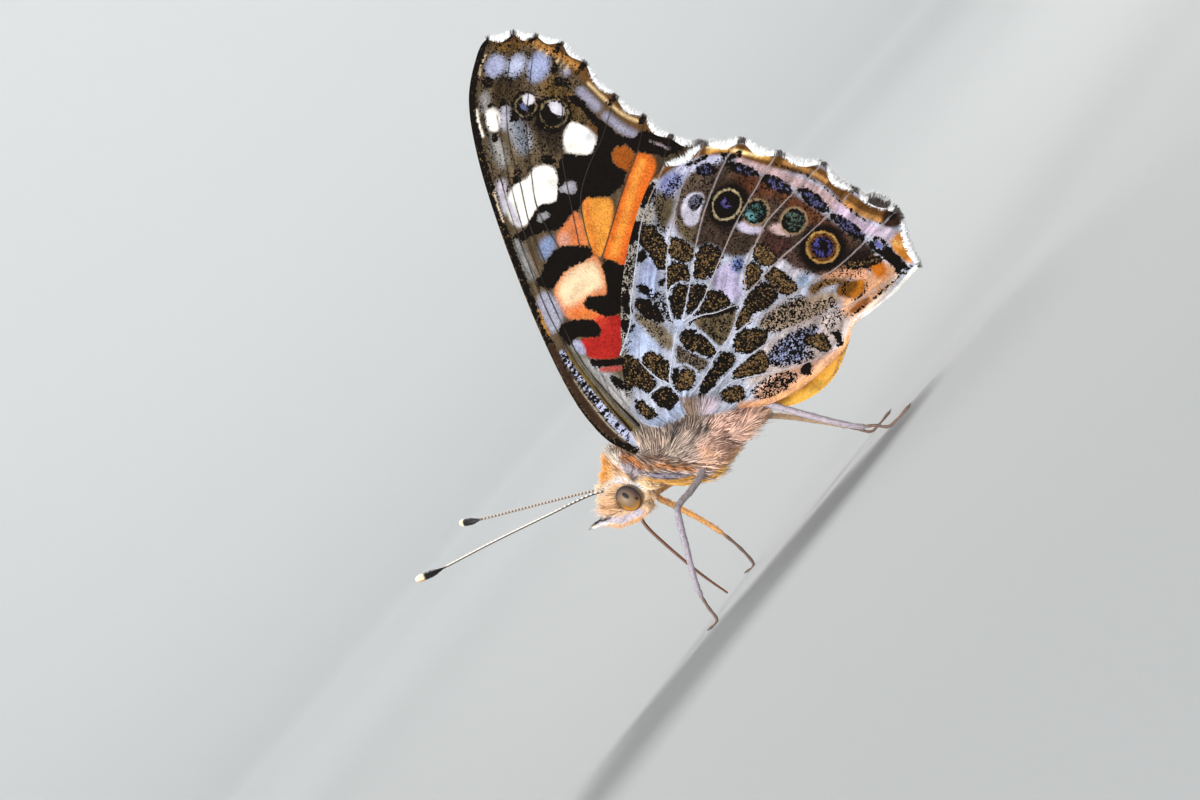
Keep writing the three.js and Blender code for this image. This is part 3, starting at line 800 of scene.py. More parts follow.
def hindwing_eyespots(p):
    first, second, third, fourth, fifth = HINDWING_OCELLI
    p.bare("#cbc5d4", (
        (10.6, 20.05), (11.15, 20.9), (11.9, 21.3), (12.6, 21.15), (13.05, 20.65), (12.8, 20.15),
        (12, 19.9), (11.4, 19.5), (10.85, 19.55),
    ))
    p.wash("#6b6c80", p.oval(first, (0.6, 0.46)), 0.06)
    p.dark(p.ring(first, (0.56, 0.42), 0.06))
    p.specks(0.42, p.oval(first, (0.5, 0.38)), 0.1)
    # Second: black halo, cream ring, black disc, violet pupil
    p.wash("#140d0b", p.oval((13.65, 18.6), (1.75, 1.5), 10), 0.35)
    p.dark(p.oval((13.65, 18.65), (1.5, 1.3), 10))
    p.bare("#b3a17c", p.ring(second, (1.12, 0.95), 0.1, 8), 0.08)
    p.bare("#5f5896", p.oval((13.65, 18.88), (0.3, 0.46), -8))
    p.specks(0.45, p.oval((13.65, 18.88), (0.36, 0.5)), 0.1)
    # Third and fourth: green-black discs in a tan ring, with a pale crescent before them
    for centre, crescent, pale, green in (
        (third, (13.45, 16.45), "#c9bfd2", "#40655f"), (fourth, (14.95, 14.6), "#d3b4b0", "#56685c"),
    ):
        p.bare(pale, p.oval(crescent, (0.42, 0.92), 32), 0.12)
        p.bare("#9b7f60", p.ring(centre, (0.94, 0.86), 0.1), 0.08)
        p.bare(green, p.oval(centre, (0.85, 0.78)), 0.05)
        p.dark(p.ring(centre, (0.76, 0.7), 0.1))
        p.specks(0.5, p.oval(centre, (0.75, 0.7)), 0.1)
    p.bare("#6fa5ab", p.oval((14.1, 17), (0.24, 0.36)))
    p.specks(0.3, p.oval((14.1, 17), (0.3, 0.4)), 0.1)
    # Fifth: the largest, gold ring and blue pupil
    p.wash("#1a1210", p.oval((15.85, 11.65), (1.8, 1.75)), 0.3)
    p.dark(p.oval((15.85, 11.7), (1.5, 1.5)))
    p.bare("#b98d4c", p.ring(fifth, (1.08, 1.12), 0.11), 0.08)
    p.bare("#6b3f1d", p.ring(fifth, (0.83, 0.86), 0.1), 0.08)
    p.bare("#4b4888", p.oval(fifth, (0.7, 0.74)), 0.08)
    p.dark(p.oval((15.93, 11.62), (0.3, 0.32)))
    p.specks(0.45, p.oval(fifth, (0.74, 0.78)), 0.1)


# The forewing's underside
FOREWING_VEINS = (
    ((-2.95, 13.4), (-2.6, 16.5), (-1.9, 19.8), (-0.6, 23.4), (1.4, 27.2), (3, 30), (4.6, 32.4)),
    (
        (-2.3, 13.2), (-2.1, 16.8), (-1.55, 19.6), (-0.2, 22.9), (1.2, 25.8), (2.6, 28.4), (4.7, 31.5),
        (7.7, 35.3),
    ),
    ((2, 25.9), (3.2, 28.3), (5.1, 30.9), (7, 33.6), (9.6, 36), (12.9, 38.2)),
    ((3.4, 25.7), (4.5, 28.7), (6.3, 30.9), (8.6, 33.3), (11.2, 35.2), (13.8, 36.9)),
    ((4.5, 24.8), (6.6, 27.5), (8.6, 30), (10.4, 31.5), (12.6, 33.3), (14.6, 35.2)),
    ((4.85, 24), (5.7, 25.3), (7.2, 27), (9.2, 28), (11.6, 28.7), (14.4, 30)),
    ((4.9, 23.05), (5.5, 23.3), (6.2, 23.6), (8.8, 24.75), (10.4, 25.4), (12.4, 26.15), (14.6, 27.3)),
    ((9, 22.6), (12, 23.9), (14.9, 25.1)),
)
FOREWING_RAYS = (
    ((-2.45, 12.9), (-2.4, 15), (-2.1, 18), (-1.6, 20.4), (-1.3, 21.6)),
    ((-1.9, 13.2), (-1.75, 15.5), (-1.4, 18), (-1.15, 19.2)),
    ((0.35, 25.6), (1, 27.3), (1.7, 28.6)),
    ((0.75, 25.6), (1.5, 27.4), (2.2, 28.7)),
    ((1.5, 26.1), (2.3, 27.6), (3, 28.6)),
    ((2.5, 30.1), (3.3, 31.4), (4.2, 32.6), (5.2, 34)),
    ((5.6, 33.9), (6.4, 35.2), (7.6, 36.6)),
)
FOREWING_BARS = (
    (
        (-1.25, 21.8), (-0.5, 22), (0.2, 21.65), (0.9, 21.1), (1.15, 20.4), (1.1, 19.9), (0.6, 19.4),
        (0.1, 19.75), (-0.25, 20.45), (-0.8, 20.7), (-1.4, 20.7),
    ),
    (
        (1, 21.95), (1.4, 21.85), (2.1, 22.05), (2.6, 21.6), (3.1, 21.15), (3.8, 21.7), (4.4, 22.5),
        (4.95, 22.85), (5.35, 22.2), (5.7, 21.3), (4.5, 20.4), (3.4, 19.6), (2.6, 19.5), (2, 19.9),
        (1.6, 20.9),
    ),
    ((-1.2, 18.95), (-0.2, 17.95), (0.4, 17.4), (0.1, 17), (-0.4, 17.3), (-1, 17.9), (-1.3, 18.4)),
    ((-1.35, 16.4), (-1.2, 17.05), (-0.9, 16.9), (-0.72, 16.3), (-0.95, 15.8), (-1.3, 15.65)),
    (
        (0.4, 24.9), (1, 24.2), (2.2, 24.32), (3.3, 24.1), (4.1, 23.65), (4.6, 23.62), (4.95, 24.3),
        (4.3, 25.2), (3.5, 25.8), (2.6, 25.95), (1.4, 25.6), (0.5, 25.4),
    ),
    (
        (3.9, 27.2), (4.6, 26.6), (6.2, 26.5), (7.4, 26.85), (8.5, 25.6), (9.9, 25.3), (10.6, 25.7),
        (12.4, 26.4), (13.1, 25), (13.6, 24.2), (15.8, 23.4), (15.3, 24.2), (14.2, 25.5), (13.9, 26.9),
        (12.9, 26.9), (12.3, 27.8), (12.3, 29.5), (12.4, 31.6), (12.1, 31.6), (11.8, 29.5), (11.3, 28.9),
        (10.5, 28.35), (9.6, 28.6), (9.1, 29.4), (8.7, 29.9), (7.6, 29.5), (7, 28.9), (5.9, 28),
        (4.8, 28.9), (3, 28.4), (1.8, 28.9), (1.5, 28.2), (3, 27.8),
    ),
)
FOREWING_WHITES = (
    (
        (2.5, 29.5), (3.2, 30.5), (4.2, 31.05), (4.9, 31.1), (5.6, 30.7), (6.7, 30.85), (7.3, 30.4),
        (7.5, 29.8), (7.2, 29.2), (6.4, 28.5), (5.8, 28.1), (4.8, 29), (3.6, 28.7), (2.9, 28.7),
    ),
    (
        (8.95, 29.9), (9.4, 30.5), (10, 30.9), (10.75, 31.1), (11.05, 30.6), (11.25, 29.8), (11.15, 29),
        (10.5, 28.6), (9.8, 28.6), (9.45, 29.2),
    ),
    ((6.5, 34.85), (6.8, 35.5), (7.4, 36.1), (7.9, 35.9), (7.95, 35.3), (7.1, 34.5)),
)
FOREWING_LILACS = (
    ("#b3b2c4", (
        (-1.6, 22.2), (-1.2, 23.2), (-0.5, 24.5), (0.35, 24.6), (0.5, 23.7), (0.05, 22.5), (-0.9, 22.1),
    )),
    ("#8f9fc4", ((2, 26), (2.6, 27), (3.4, 27), (3.75, 26.5), (3, 25.95))),
    ("#9b9997", ((0.25, 25.8), (0.9, 27.3), (1.7, 28.7), (2, 28.3), (1.4, 26.9), (0.8, 25.7))),
    ("#a3a4a8", ((3.8, 28.1), (4.3, 28.5), (4.9, 28.1), (4.6, 27.75))),
    ("#aaa6b0", ((6.4, 28.5), (7.2, 28.6), (7.85, 28.1), (7.2, 27.4))),
    ("#aeb3d2", ((9.4, 37.3), (9.7, 38.2), (10.8, 38.3), (11.2, 37.6), (10.4, 37))),
    ("#b9bfd8", ((10.2, 36.5), (11, 37.2), (12.1, 37), (12.1, 36.3), (11, 36))),
    ("#a8b0d4", ((11.1, 35.2), (12, 36.1), (13.2, 36.1), (13.4, 35.3), (12.4, 34.5), (11.4, 34.7))),
    ("#c9c2cc", ((2.5, 30.4), (3.8, 32.2), (4.6, 32), (3.8, 30.9), (3, 30.2))),
    ("#bdb9c6", ((7.1, 34.4), (8.2, 35.5), (8.8, 35.2), (8.3, 34.6), (7.5, 34.1))),
    ("#a9a5a2", ((7.1, 36.2), (7.9, 37), (8.5, 37), (8.2, 36.4), (7.6, 36.2))),
)


def forewing_underside(plane, rays):
    p = Pattern(plane, "#62513c", NEARER_FORE)
    p.wash("#7b7363", ((-3.4, 12), (-2.6, 18), (-1.5, 21.5), (-0.9, 18), (-0.3, 15), (0, 12)), 0.3)
    p.wash("#aba8a8", ((-2.2, 12.5), (-1.9, 17.5), (-1.4, 19.6), (-0.9, 17), (-0.9, 14), (-1.5, 12)), 0.3)
    # Apex: olive brown with grey and lilac clouds
    p.wash("#6d5c45", ((4.4, 31.6), (7.2, 34.6), (9, 33), (8.8, 30.5), (7.4, 31.3)), 0.4)
    p.wash("#a3a09c", ((4.9, 32.6), (5.7, 34.2), (6.4, 34.8), (6.5, 33.9), (5.7, 32.5)), 0.35, 0.9)
    p.wash("#a0a6b2", ((6.6, 32.2), (7.5, 34), (8.3, 34.7), (8.6, 33.2), (7.6, 31.9)), 0.4, 0.9)
    p.wash("#6b522c", p.oval((11.6, 32.6), (0.9, 2), -10), 0.4)
    p.wash("#6f5226", p.oval((12.2, 38), (1.2, 0.7), -40), 0.4)
    p.wash("#4b3c28", p.oval((9.3, 35.9), (1.4, 0.9), 35), 0.4)
    p.wash("#704a23", p.oval((11.55, 28.9), (0.4, 1.2)), 0.25)
    p.wash("#1d1612", ((8.2, 30.2), (8.4, 33), (9.6, 33.6), (10.2, 31.2), (9.2, 30.6)), 0.5, 0.8)
    p.streaks(rays, 0.5, 63)
    p.specks(0.24, p.oval((9, 33.8), (6.5, 4.4), 50), 0.5)
    p.specks(0.08, p.oval((6.6, 33.4), (2.3, 1.2), 40), 0.5)
    jitter = (clouds(p.plane, 0.25, 31) - 0.5) * 0.14
    for outline in FOREWING_BARS:
        p.dark(p.patch(outline) + jitter)
    for x, z, rx, rz in (
        (6.4, 34.4, 0.28, 0.22), (8.65, 35.45, 0.3, 0.25), (7.95, 36.25, 0.3, 0.2), (9.1, 37.3, 0.35, 0.4),
        (10.35, 36.4, 0.35, 0.2), (12.55, 33.4, 0.3, 0.6), (5.2, 31.35, 0.7, 0.28), (7.7, 30.5, 0.3, 0.55),
        (9.5, 32.0, 0.4, 0.9), (8.3, 34.2, 0.2, 0.5), (13.9, 24.9, 0.5, 0.9), (12.3, 31.6, 0.3, 0.9),
        (9.9, 38.75, 0.6, 0.2), (12.9, 34.4, 0.4, 0.2),
    ):
        p.dark(p.oval((x, z), (rx, rz), 30) + jitter, 0.15)
    # Pale, red and orange patches
    p.bare("#f2935f", (
        (0, 22.4), (0.4, 23.5), (1, 24.15), (2.2, 24.4), (3.2, 24.15), (3.9, 23.75), (4.7, 23.6),
        (4.55, 22.8), (4, 22), (3.4, 21.3), (3.1, 21.15), (2.6, 21.6), (2.1, 22.05), (1.3, 21.85),
        (1.9, 20), (1.3, 19.9), (1.2, 20.6), (0.9, 21.1), (0.2, 21.7),
    ), 0.1)
    p.wash("#ffdcb2", (
        (0.5, 22.8), (1, 23.8), (2.2, 24.2), (3.5, 23.9), (4.4, 23.3), (4, 22.4), (3.4, 21.6), (2.6, 22.1),
        (1.4, 22.3),
    ), 0.35)
    p.wash("#ee7f3c", ((0.2, 21.8), (0.7, 22.2), (1.3, 21.6), (1.8, 20.2), (1.4, 20), (1.1, 21)), 0.25)
    p.bare("#b92a24", (
        (-1.1, 19.3), (-0.6, 20.4), (0, 19.95), (0.5, 19.4), (1.05, 19.7), (1.25, 20.2), (1.9, 20),
        (2.65, 19.5), (2.3, 18.9), (1.2, 18), (0.35, 17.45), (-0.35, 18.05), (-0.95, 18.8),
    ), 0.12)
    p.wash("#d23f2c", p.oval((1.4, 20.1), (0.5, 0.5)), 0.3)
    p.bare("#b5524a", ((-1.2, 18), (-0.6, 17.5), (0, 16.9), (-0.25, 16.75), (-0.9, 17.3), (-1.3, 17.8)))
    p.bare("#b6b8d2", ((-1.35, 20.5), (-0.9, 20.7), (-0.65, 20.3), (-0.9, 19.6), (-1.25, 19.4)), 0.15)
    p.bare("#e3834f", (
        (3.5, 26), (4.2, 26.6), (5.4, 26.6), (6.4, 26.75), (5.4, 25), (4.95, 24.3), (4.2, 25.3),
    ), 0.16)
    p.wash("#e6a58c", p.oval((4.1, 25.9), (0.5, 0.4), 30), 0.25)
    p.bare("#f6a040", (
        (5, 24.4), (5.9, 25.6), (6.6, 26.3), (7.4, 26.75), (7.9, 26.1), (8.6, 25.3), (7.8, 24.5),
        (5.8, 23.4), (4.8, 23.1),
    ), 0.16)
    p.wash("#ee7c34", p.line(((4.9, 23.6), (6.2, 25.3), (7.2, 26.5)), 0.18), 0.3, 0.7)
    p.bare("#ee7528", (
        (4.9, 22.95), (6.5, 23.7), (8, 24.35), (9.5, 24.95), (11, 25.6), (12.3, 26.1), (12.85, 25.1),
        (12.4, 24.4), (11, 24), (9, 22.9), (6, 21.3), (5.6, 21.4), (5.35, 22.4),
    ), 0.14)
    p.wash("#fba043", p.line(((5.7, 22.6), (8, 23.6), (10.5, 24.8), (12, 25.4)), 0.25), 0.35)
    p.wash("#d95a2a", p.line(((5.6, 21.6), (6.6, 22)), 0.2), 0.3)
    p.bare("#a8581c", (
        (10.6, 26.6), (10.9, 27.3), (11.5, 27.5), (12.1, 27.1), (12.2, 26.3), (11.6, 25.95), (10.8, 25.7),
    ), 0.25)
    for colour, outline in FOREWING_LILACS:
        p.bare(colour, outline, 0.3)
    for outline in FOREWING_WHITES:
        p.bare("#fff9f0", outline, 0.14)
    p.wash("#cfc9d6", p.line(((2.8, 29.1), (3.5, 30.6)), 0.2), 0.2)
    p.wash("#d6d2da", p.oval((10.9, 29.3), (0.3, 0.6)), 0.3, 0.7)
    # Two small eyespots near the apex
    for eye, white, halo in (((9.55, 34.2), (10.05, 34.38), 0.66), ((10.5, 32.35), (10.87, 32.42), 0.9)):
        p.dark(p.ring(eye, (halo + 0.3, halo + 0.25), 0.1) + jitter)
        p.bare("#8d7d5b", p.ring(eye, (halo + 0.1, halo + 0.06), 0.045) + jitter * 0.5, 0.06)
        p.dark(p.oval(eye, (halo, halo * 0.95)))
        p.bare("#ded9e2", p.oval(white, (0.46, 0.44 + 0.24 * (halo - 0.66) / 0.24)), 0.1)
    p.bare("#6b73a0", p.oval((9.4, 34.25), (0.2, 0.36)))
    # Costal edge: black rim, brown band, cream line, barred strip
    p.dark(p.line(FOREWING["front"], 0.38), 0.1)
    p.bare("#3f2b1f", p.line(((-4.15, 14.2), (-4.05, 16.2), (-3.3, 19), (-2.3, 21.6)), 0.26), 0.14)
    p.bare("#b9aa92", p.line((
        (-3.65, 12.6), (-3.82, 14.5), (-3.62, 16.3), (-3.3, 17.9), (-3, 18.9),
    ), 0.05), 0.06)
    p.bare("#c4c8e4", p.line((
        (-3.4, 12.9), (-3.38, 14.5), (-3.18, 16.2), (-2.75, 18.4), (-2.15, 20.7),
    ), 0.33, 0.2), 0.08)
    strip = Line(((-3.4, 13.0), (-3.38, 14.5), (-3.18, 16.2), (-2.75, 18.4), (-2.15, 20.7)))
    for k, share in enumerate(np.linspace(0.02, 0.98, 19) ** 0.85):
        x, z = strip.at(np.array([share]))[0]
        p.dark(p.oval((x, z), (0.36, 0.1 + 0.045 * (k % 3)), 14 - 9 * (k % 3)) + jitter * 0.6)
    p.bare("#cdd2e4", p.oval((-3.15, 12.45), (0.5, 0.4)), 0.2)
    p.bare("#77602f", p.line(((-2.75, 13.3), (-2.75, 15.5), (-2.35, 18.4), (-1.85, 20.4)), 0.17), 0.1)
    p.bare("#c98a3a", p.line(((-1.75, 22.3), (-1.35, 23.2), (-0.95, 23.9)), 0.1), 0.06)
    p.bare("#f0d3b0", p.line(((2.2, 30), (2.8, 31), (3.4, 31.9)), 0.07), 0.06)
    p.bare("#fdf3e4", p.line(((5.9, 35.1), (6.4, 35.9), (7, 36.6)), 0.11), 0.06)
    p.bare("#e8c9a0", p.line(((9, 38.05), (9.6, 38.45), (10.4, 38.7)), 0.06), 0.06)
    # Margin: brown and gold, with lilac bars before it
    p.wash("#6a4826", p.line((
        (12, 38.9), (13.2, 37.5), (13.9, 35.8), (14.1, 33), (13.8, 30), (13.9, 27.6), (14.3, 25.4),
    ), 0.45), 0.3)
    p.bare("#a6a2b6", p.line(((12.95, 31.9), (12.85, 30.4)), 0.34), 0.25)
    p.bare("#a6a2b6", p.line(((12.8, 29.4), (12.9, 28), (13.1, 27.2)), 0.3), 0.25)
    p.bare("#a79aa6", p.line(((13.5, 25.9), (14, 24.6)), 0.1), 0.2)
    p.bare("#b9b2c4", p.oval((13.3, 33.65), (0.3, 0.3)), 0.2)
    # Cream and gold lines and dashes at the margin: partly cream and gold scales, partly painted glints of
    # light shining through the margin
    p.bare("#f0cf98", p.line(((13.75, 31.9), (13.65, 30.2), (13.7, 28.6), (14.1, 27.3)), 0.1), 0.12)
    for z in (36.9, 36.5, 36.0, 35.5, 34.6, 34.2, 33.8):
        x = 13.95 - 0.12 * (z - 33.4)
        p.bare("#f2d3a0", p.oval((x - 0.25, z), (0.24, 0.09), 10), 0.1)
    p.wash("#c98c48", p.line(((13.2, 37), (13.7, 35.6), (14, 34.2), (14.1, 33.2)), 0.2), 0.2)
    for x, z in FOREWING["ends"][1:-1]:
        p.dark(p.oval((x - 0.4, z - 0.05), (0.55, 0.18)) + jitter, 0.3)
    for line in (*FOREWING_RAYS, *FOREWING_VEINS):
        p.wash("#1e1610", p.line(line, 0.04), 0.08, 0.7)
    p.ground *= (0.68 + 0.26 * clouds(p.plane, 0.6, 13))[:, None]
    return p


# The upper faces, which only show between the closed wings
def forewing_upperside(plane, rays):
    p = Pattern(plane, "#d0702e")
    p.wash("#7d5130", p.oval((-2, 14), (3, 4.5), 70), 0.8)
    apex = (
        (1.5, 29.5), (5.5, 28.6), (8.2, 26.6), (13.2, 26.2), (15.6, 24.2), (16, 30), (15.5, 36), (12, 40),
        (7, 38.5), (2, 31.5),
    )
    for outline in (*FOREWING_BARS[:2], FOREWING_BARS[4], apex):
        p.dark(outline)
    for outline in FOREWING_WHITES:
        p.bare("#f4ede4", outline)
    for x, z in ((10.0, 34.4), (10.8, 32.6)):
        p.bare("#efe8e0", p.oval((x, z), (0.5, 0.5)))
    p.dark(p.oval((9.2, 23.2), (0.8, 0.6)))
    p.dark(p.line(FOREWING["front"], 0.5), 0.4)
    p.streaks(rays, 0.3, 64)
    return p


def hindwing_upperside(plane, rays):
    p = Pattern(plane, "#d4783a")
    p.wash("#8a6038", ((-2, 12), (0, 17), (5, 18), (7, 13), (11, 9), (12, 5), (4, 5), (-1, 10)), 1)
    # The inner fold: orange scales, made brighter with painted glow of light shining through it
    p.wash("#ffb040", ((4.4, 8.6), (8, 7.6), (12.5, 7.4), (13.5, 5.6), (9.5, 4.4), (5, 5.5)), 0.5)
    p.wash("#ffc256", p.line(((5.5, 6), (9, 5.1), (12, 5.4)), 0.5), 0.4)
    p.dark(p.line(((3, 19), (6, 17.6), (7.5, 15), (9.5, 12.6)), 0.35, 0.2), 0.2)
    for x, z in HINDWING_OCELLI[1:]:
        p.dark(p.oval((x, z), (0.72, 0.72)))
    for centre, radii, turn in HINDWING_LOZENGES:
        p.dark(p.oval(centre, (radii[0] * 1.2, radii[1] * 0.8), turn))
    p.dark(p.line((
        (16, 22.6), (18.1, 19.5), (19.6, 15.7), (19.9, 12.5), (20.7, 9.4), (19.3, 6.2),
    ), 0.28), 0.3)
    p.streaks(rays, 0.3, 65)
    return p


def wing_material(name):
    """Powdery wing scales: matte, each scale a little lighter or darker, black ones with ragged edges."""
    material, tree, shader = surface(name, 0.7, Specular_IOR_Level=0.04)
    scale_size = 0.09 * MM  # a scale is about 0.05 mm wide and 0.1 mm long; drawn this wide so that it shows
    here = add(tree, "TexCoord").outputs["Object"]
    cell = add(tree, "TexVoronoi", {"Vector": here, "Scale": 1 / scale_size})
    luck = add(tree, "SeparateColor", {0: cell.outputs["Color"]})
    ragged = add(tree, "TexNoise", {"Vector": here, "Scale": 0.3 / scale_size, "Detail": 3.0}).outputs[0]
    ink, gold, speck, ground = (add(tree, "Attribute", attribute_name=key) for key in PATTERN_KEYS)
    # A scale is black inside a mark, whose edge is bent by the noise and by the luck of each scale
    bend = add(tree, "MapRange", {0: ragged, 1: 0.3, 2: 0.7, 3: -0.09, 4: 0.09})
    jump = add(tree, "MapRange", {0: luck, 3: -0.08, 4: 0.08})
    bent = add(tree, "Math", {0: bend, 1: jump}, operation="ADD")
    moved = add(tree, "Math", {0: ink.outputs["Fac"], 1: bent}, operation="ADD")
    black = add(tree, "MapRange", {0: moved, 1: -0.02, 2: 0.02})
    # Specks and gold scales come in loose clumps
    clumps = add(tree, "MapRange", {0: ragged, 1: 0.35, 2: 0.65, 3: 0.2, 4: 1.15})
    thick = add(tree, "MapRange", {0: ragged, 1: 0.35, 2: 0.65, 3: 0.6, 4: 1.8})
    speck_share = add(tree, "Math", {0: speck.outputs["Fac"], 1: thick}, operation="MULTIPLY")
    specks = add(tree, "Math", {0: luck.outputs[0], 1: speck_share}, operation="LESS_THAN")
    dark = add(tree, "Math", {0: black, 1: specks}, operation="MAXIMUM")
    gold_share = add(tree, "Math", {0: gold.outputs["Fac"], 1: clumps}, operation="MULTIPLY")
    golden = add(tree, "Math", {0: luck.outputs[1], 1: gold_share}, operation="LESS_THAN")
    worn = add(tree, "Mix", {0: luck.outputs[2], MIX_A: rgba("#2c2217"), MIX_B: rgba("#7f6440")},
               data_type="RGBA")
    inside = add(tree, "Mix", {0: golden, MIX_A: rgba("#120e0b"), MIX_B: worn.outputs[MIX_OUT]},
                 data_type="RGBA")
    colour = add(tree, "Mix", {0: dark, MIX_A: ground.outputs["Color"], MIX_B: inside.outputs[MIX_OUT]},
                 data_type="RGBA")
    # Pale scales are nearly even, darker ones differ more
    least = add(tree, "MapRange", {0: ground.outputs["Fac"], 1: 0.4, 2: 0.8, 3: 0.56, 4: 0.93})
    most = add(tree, "MapRange", {0: ground.outputs["Fac"], 1: 0.4, 2: 0.8, 3: 1.02, 4: 1.0})
    grain = add(tree, "MapRange", {0: luck.outputs[2], 3: least, 4: most})
    finish_surface(tree, shader, colour.outputs[MIX_OUT], grain, (cell.outputs["Distance"], 0.3, 0.015))
    return material


PATTERN_KEYS = ("ink", "gold", "speck", "ground")


def make_wing(kind, word, side, shape, under, upper, material):
    mesh, plane, rays, inner = wing_mesh(f"{kind}_{word}_wing", shape, side)
    outer_marks, inner_marks = under(plane[~inner], rays[~inner]), upper(plane[inner], rays[inner])
    for key in PATTERN_KEYS:
        values = np.zeros((len(plane), 3) if key == "ground" else len(plane))
        values[~inner], values[inner] = getattr(outer_marks, key), getattr(inner_marks, key)
        store(mesh, key, values)
    put(f"{kind}_{word}_wing", mesh, material, [f"{kind}_{word}"])


def make_veins(kind, word, side, shape, lines, nearer, colours, material):
    """Horny tubes set in the wing, tapering to its margin."""
    bm = bmesh.new()
    for line in lines:
        plane = Line(line).at(np.linspace(0, 1, 16)) + np.array(nearer)
        path = in_place(plane, wing_face(shape, plane) - WING_SKIN / 2, side)
        mesh, _, _ = tube(path, (VEIN_RADIUS, VEIN_RADIUS, VEIN_RADIUS * 0.86), 6, 60)
        bm.from_mesh(mesh)
    whole = as_mesh(f"{kind}_{word}_veins", bm)
    store(whole, "tint", blend(tone(colours[0]), tone(colours[1]), ease(points_of(whole)[:, 0], 5, 12)))
    put(f"{kind}_{word}_veins", whole, material)


def make_wings():
    fore = wing_material("forewing scales")
    hind = wing_material("hindwing scales")
    # Horn: satin, dulled by the dust of loose scales
    horn, tree, shader = surface("horny veins", 0.6, Specular_IOR_Level=0.2)
    here = add(tree, "TexCoord").outputs["Object"]
    dust = add(tree, "TexNoise", {"Vector": here, "Scale": 1 / (0.15 * MM), "Detail": 1.0})
    finish_surface(tree, shader, level=add(tree, "MapRange", {0: dust, 1: 0.3, 2: 0.7, 3: 0.7, 4: 1.15}))
    for word, side in SIDES:
        make_wing("forewing", word, side, FOREWING, forewing_underside, forewing_upperside, fore)
        make_veins("forewing", word, side, FOREWING, FOREWING_VEINS, NEARER_FORE, ("#241912", "#241912"),
                   horn)
        shape = hindwing_shape(side)
        make_wing("hindwing", word, side, shape, hindwing_underside, hindwing_upperside, hind)
        make_veins("hindwing", word, side, shape, HINDWING_VEINS, NEARER_HIND, ("#b9bcc8", "#96806f"),
                   horn)


# Hairs and vanes: one pointed blade, copied and laid along its own bend
def long_edges(bm):
    """The edges of a cone or cylinder that run along Z."""
    return [e for e in bm.edges if abs(e.verts[0].co.z - e.verts[1].co.z) > 0.5]


def blade_mesh():
    """A pointed blade with three sides, one long and two wide, along Z from its root at 0."""
    bm = bmesh.new()
    bmesh.ops.create_cone(bm, cap_ends=True, segments=3, radius1=1, radius2=0, depth=1)
    bmesh.ops.remove_doubles(bm, verts=bm.verts[:], dist=1e-4)
    bmesh.ops.subdivide_edges(bm, edges=long_edges(bm), cuts=2)
    bmesh.ops.translate(bm, verts=bm.verts[:], vec=(0, 0, 0.5))
    return as_mesh("blade", bm)


TUFT_PATCH = 0.003  # how much of the map one blade takes


def lay_blades(name, roots, heading, out, length, width, lift, tint, places, material, flat=0.5,
               curl=0.55):
    """Joins a blade for each root: heading is the way it lies, out the way it stands off."""
    count = len(roots)
    mesh = joined(blade_mesh(), count)
    local = points_of(mesh)
    own = np.repeat(np.arange(count), len(local) // count)
    t = local[:, 2]
    swell = np.where(t < 0.999, (1 - t * t) / np.maximum(1 - t, 1e-3), 0)  # fuller than a cone half way up
    across = np.cross(heading, out)
    far = (length[own] * t)[:, None]
    rise = (length * lift)[own] * (t - curl * t * t)
    points = roots[own] + heading[own] * far + out[own] * rise[:, None]
    points += across[own] * (local[:, 0] * swell * width[own])[:, None]
    points += out[own] * (local[:, 1] * swell * width[own] * flat)[:, None]
    set_points(mesh, points)
    # Painted shade and light: each blade is darker at its root, down among the others, and lighter at its tip
    shade = 0.66 + 0.46 * t
    colour = tint[own] * shade[:, None]
    store(mesh, "tint", colour / np.maximum(colour.max(1), 1)[:, None])
    store_map(mesh, places[own] + np.stack([0.5 + 0.5 * local[:, 0], t], 1) * TUFT_PATCH)
    put(name, mesh, material)


def hair_material(name):
    """Fine hair-like scales: matte with a soft silky edge."""
    material, tree, shader = surface(name, 0.5, Specular_IOR_Level=0.3, Sheen_Weight=0.3, Sheen_Roughness=0.4)
    here = add(tree, "TexCoord").outputs["Object"]
    streak = add(tree, "TexNoise", {"Vector": here, "Scale": 1 / (0.3 * MM), "Detail": 2.0})
    finish_surface(tree, shader, level=add(tree, "MapRange", {0: streak, 1: 0.3, 2: 0.7, 3: 0.85, 4: 1.12}))
    return material


FRINGE_ROOT = 0.12  # how deep the scales are set in the margin


def make_fringes():
    """Fringes of both wings' margins, and a short one along the hindwing's inner fold."""
    material = hair_material("fringe scales")
    for word, side in SIDES:
        hind = hindwing_shape(side)
        rear = {**hind, "ends": hind["rear"][::-1][:-1], "scallop": 0, "fringe": 0.12}
        grow_fringe("forewing", word, side, FOREWING, 1800, material)
        grow_fringe("hindwing", word, side, hind, 2400, material)
        grow_fringe("rear", word, side, rear, 1000, material)


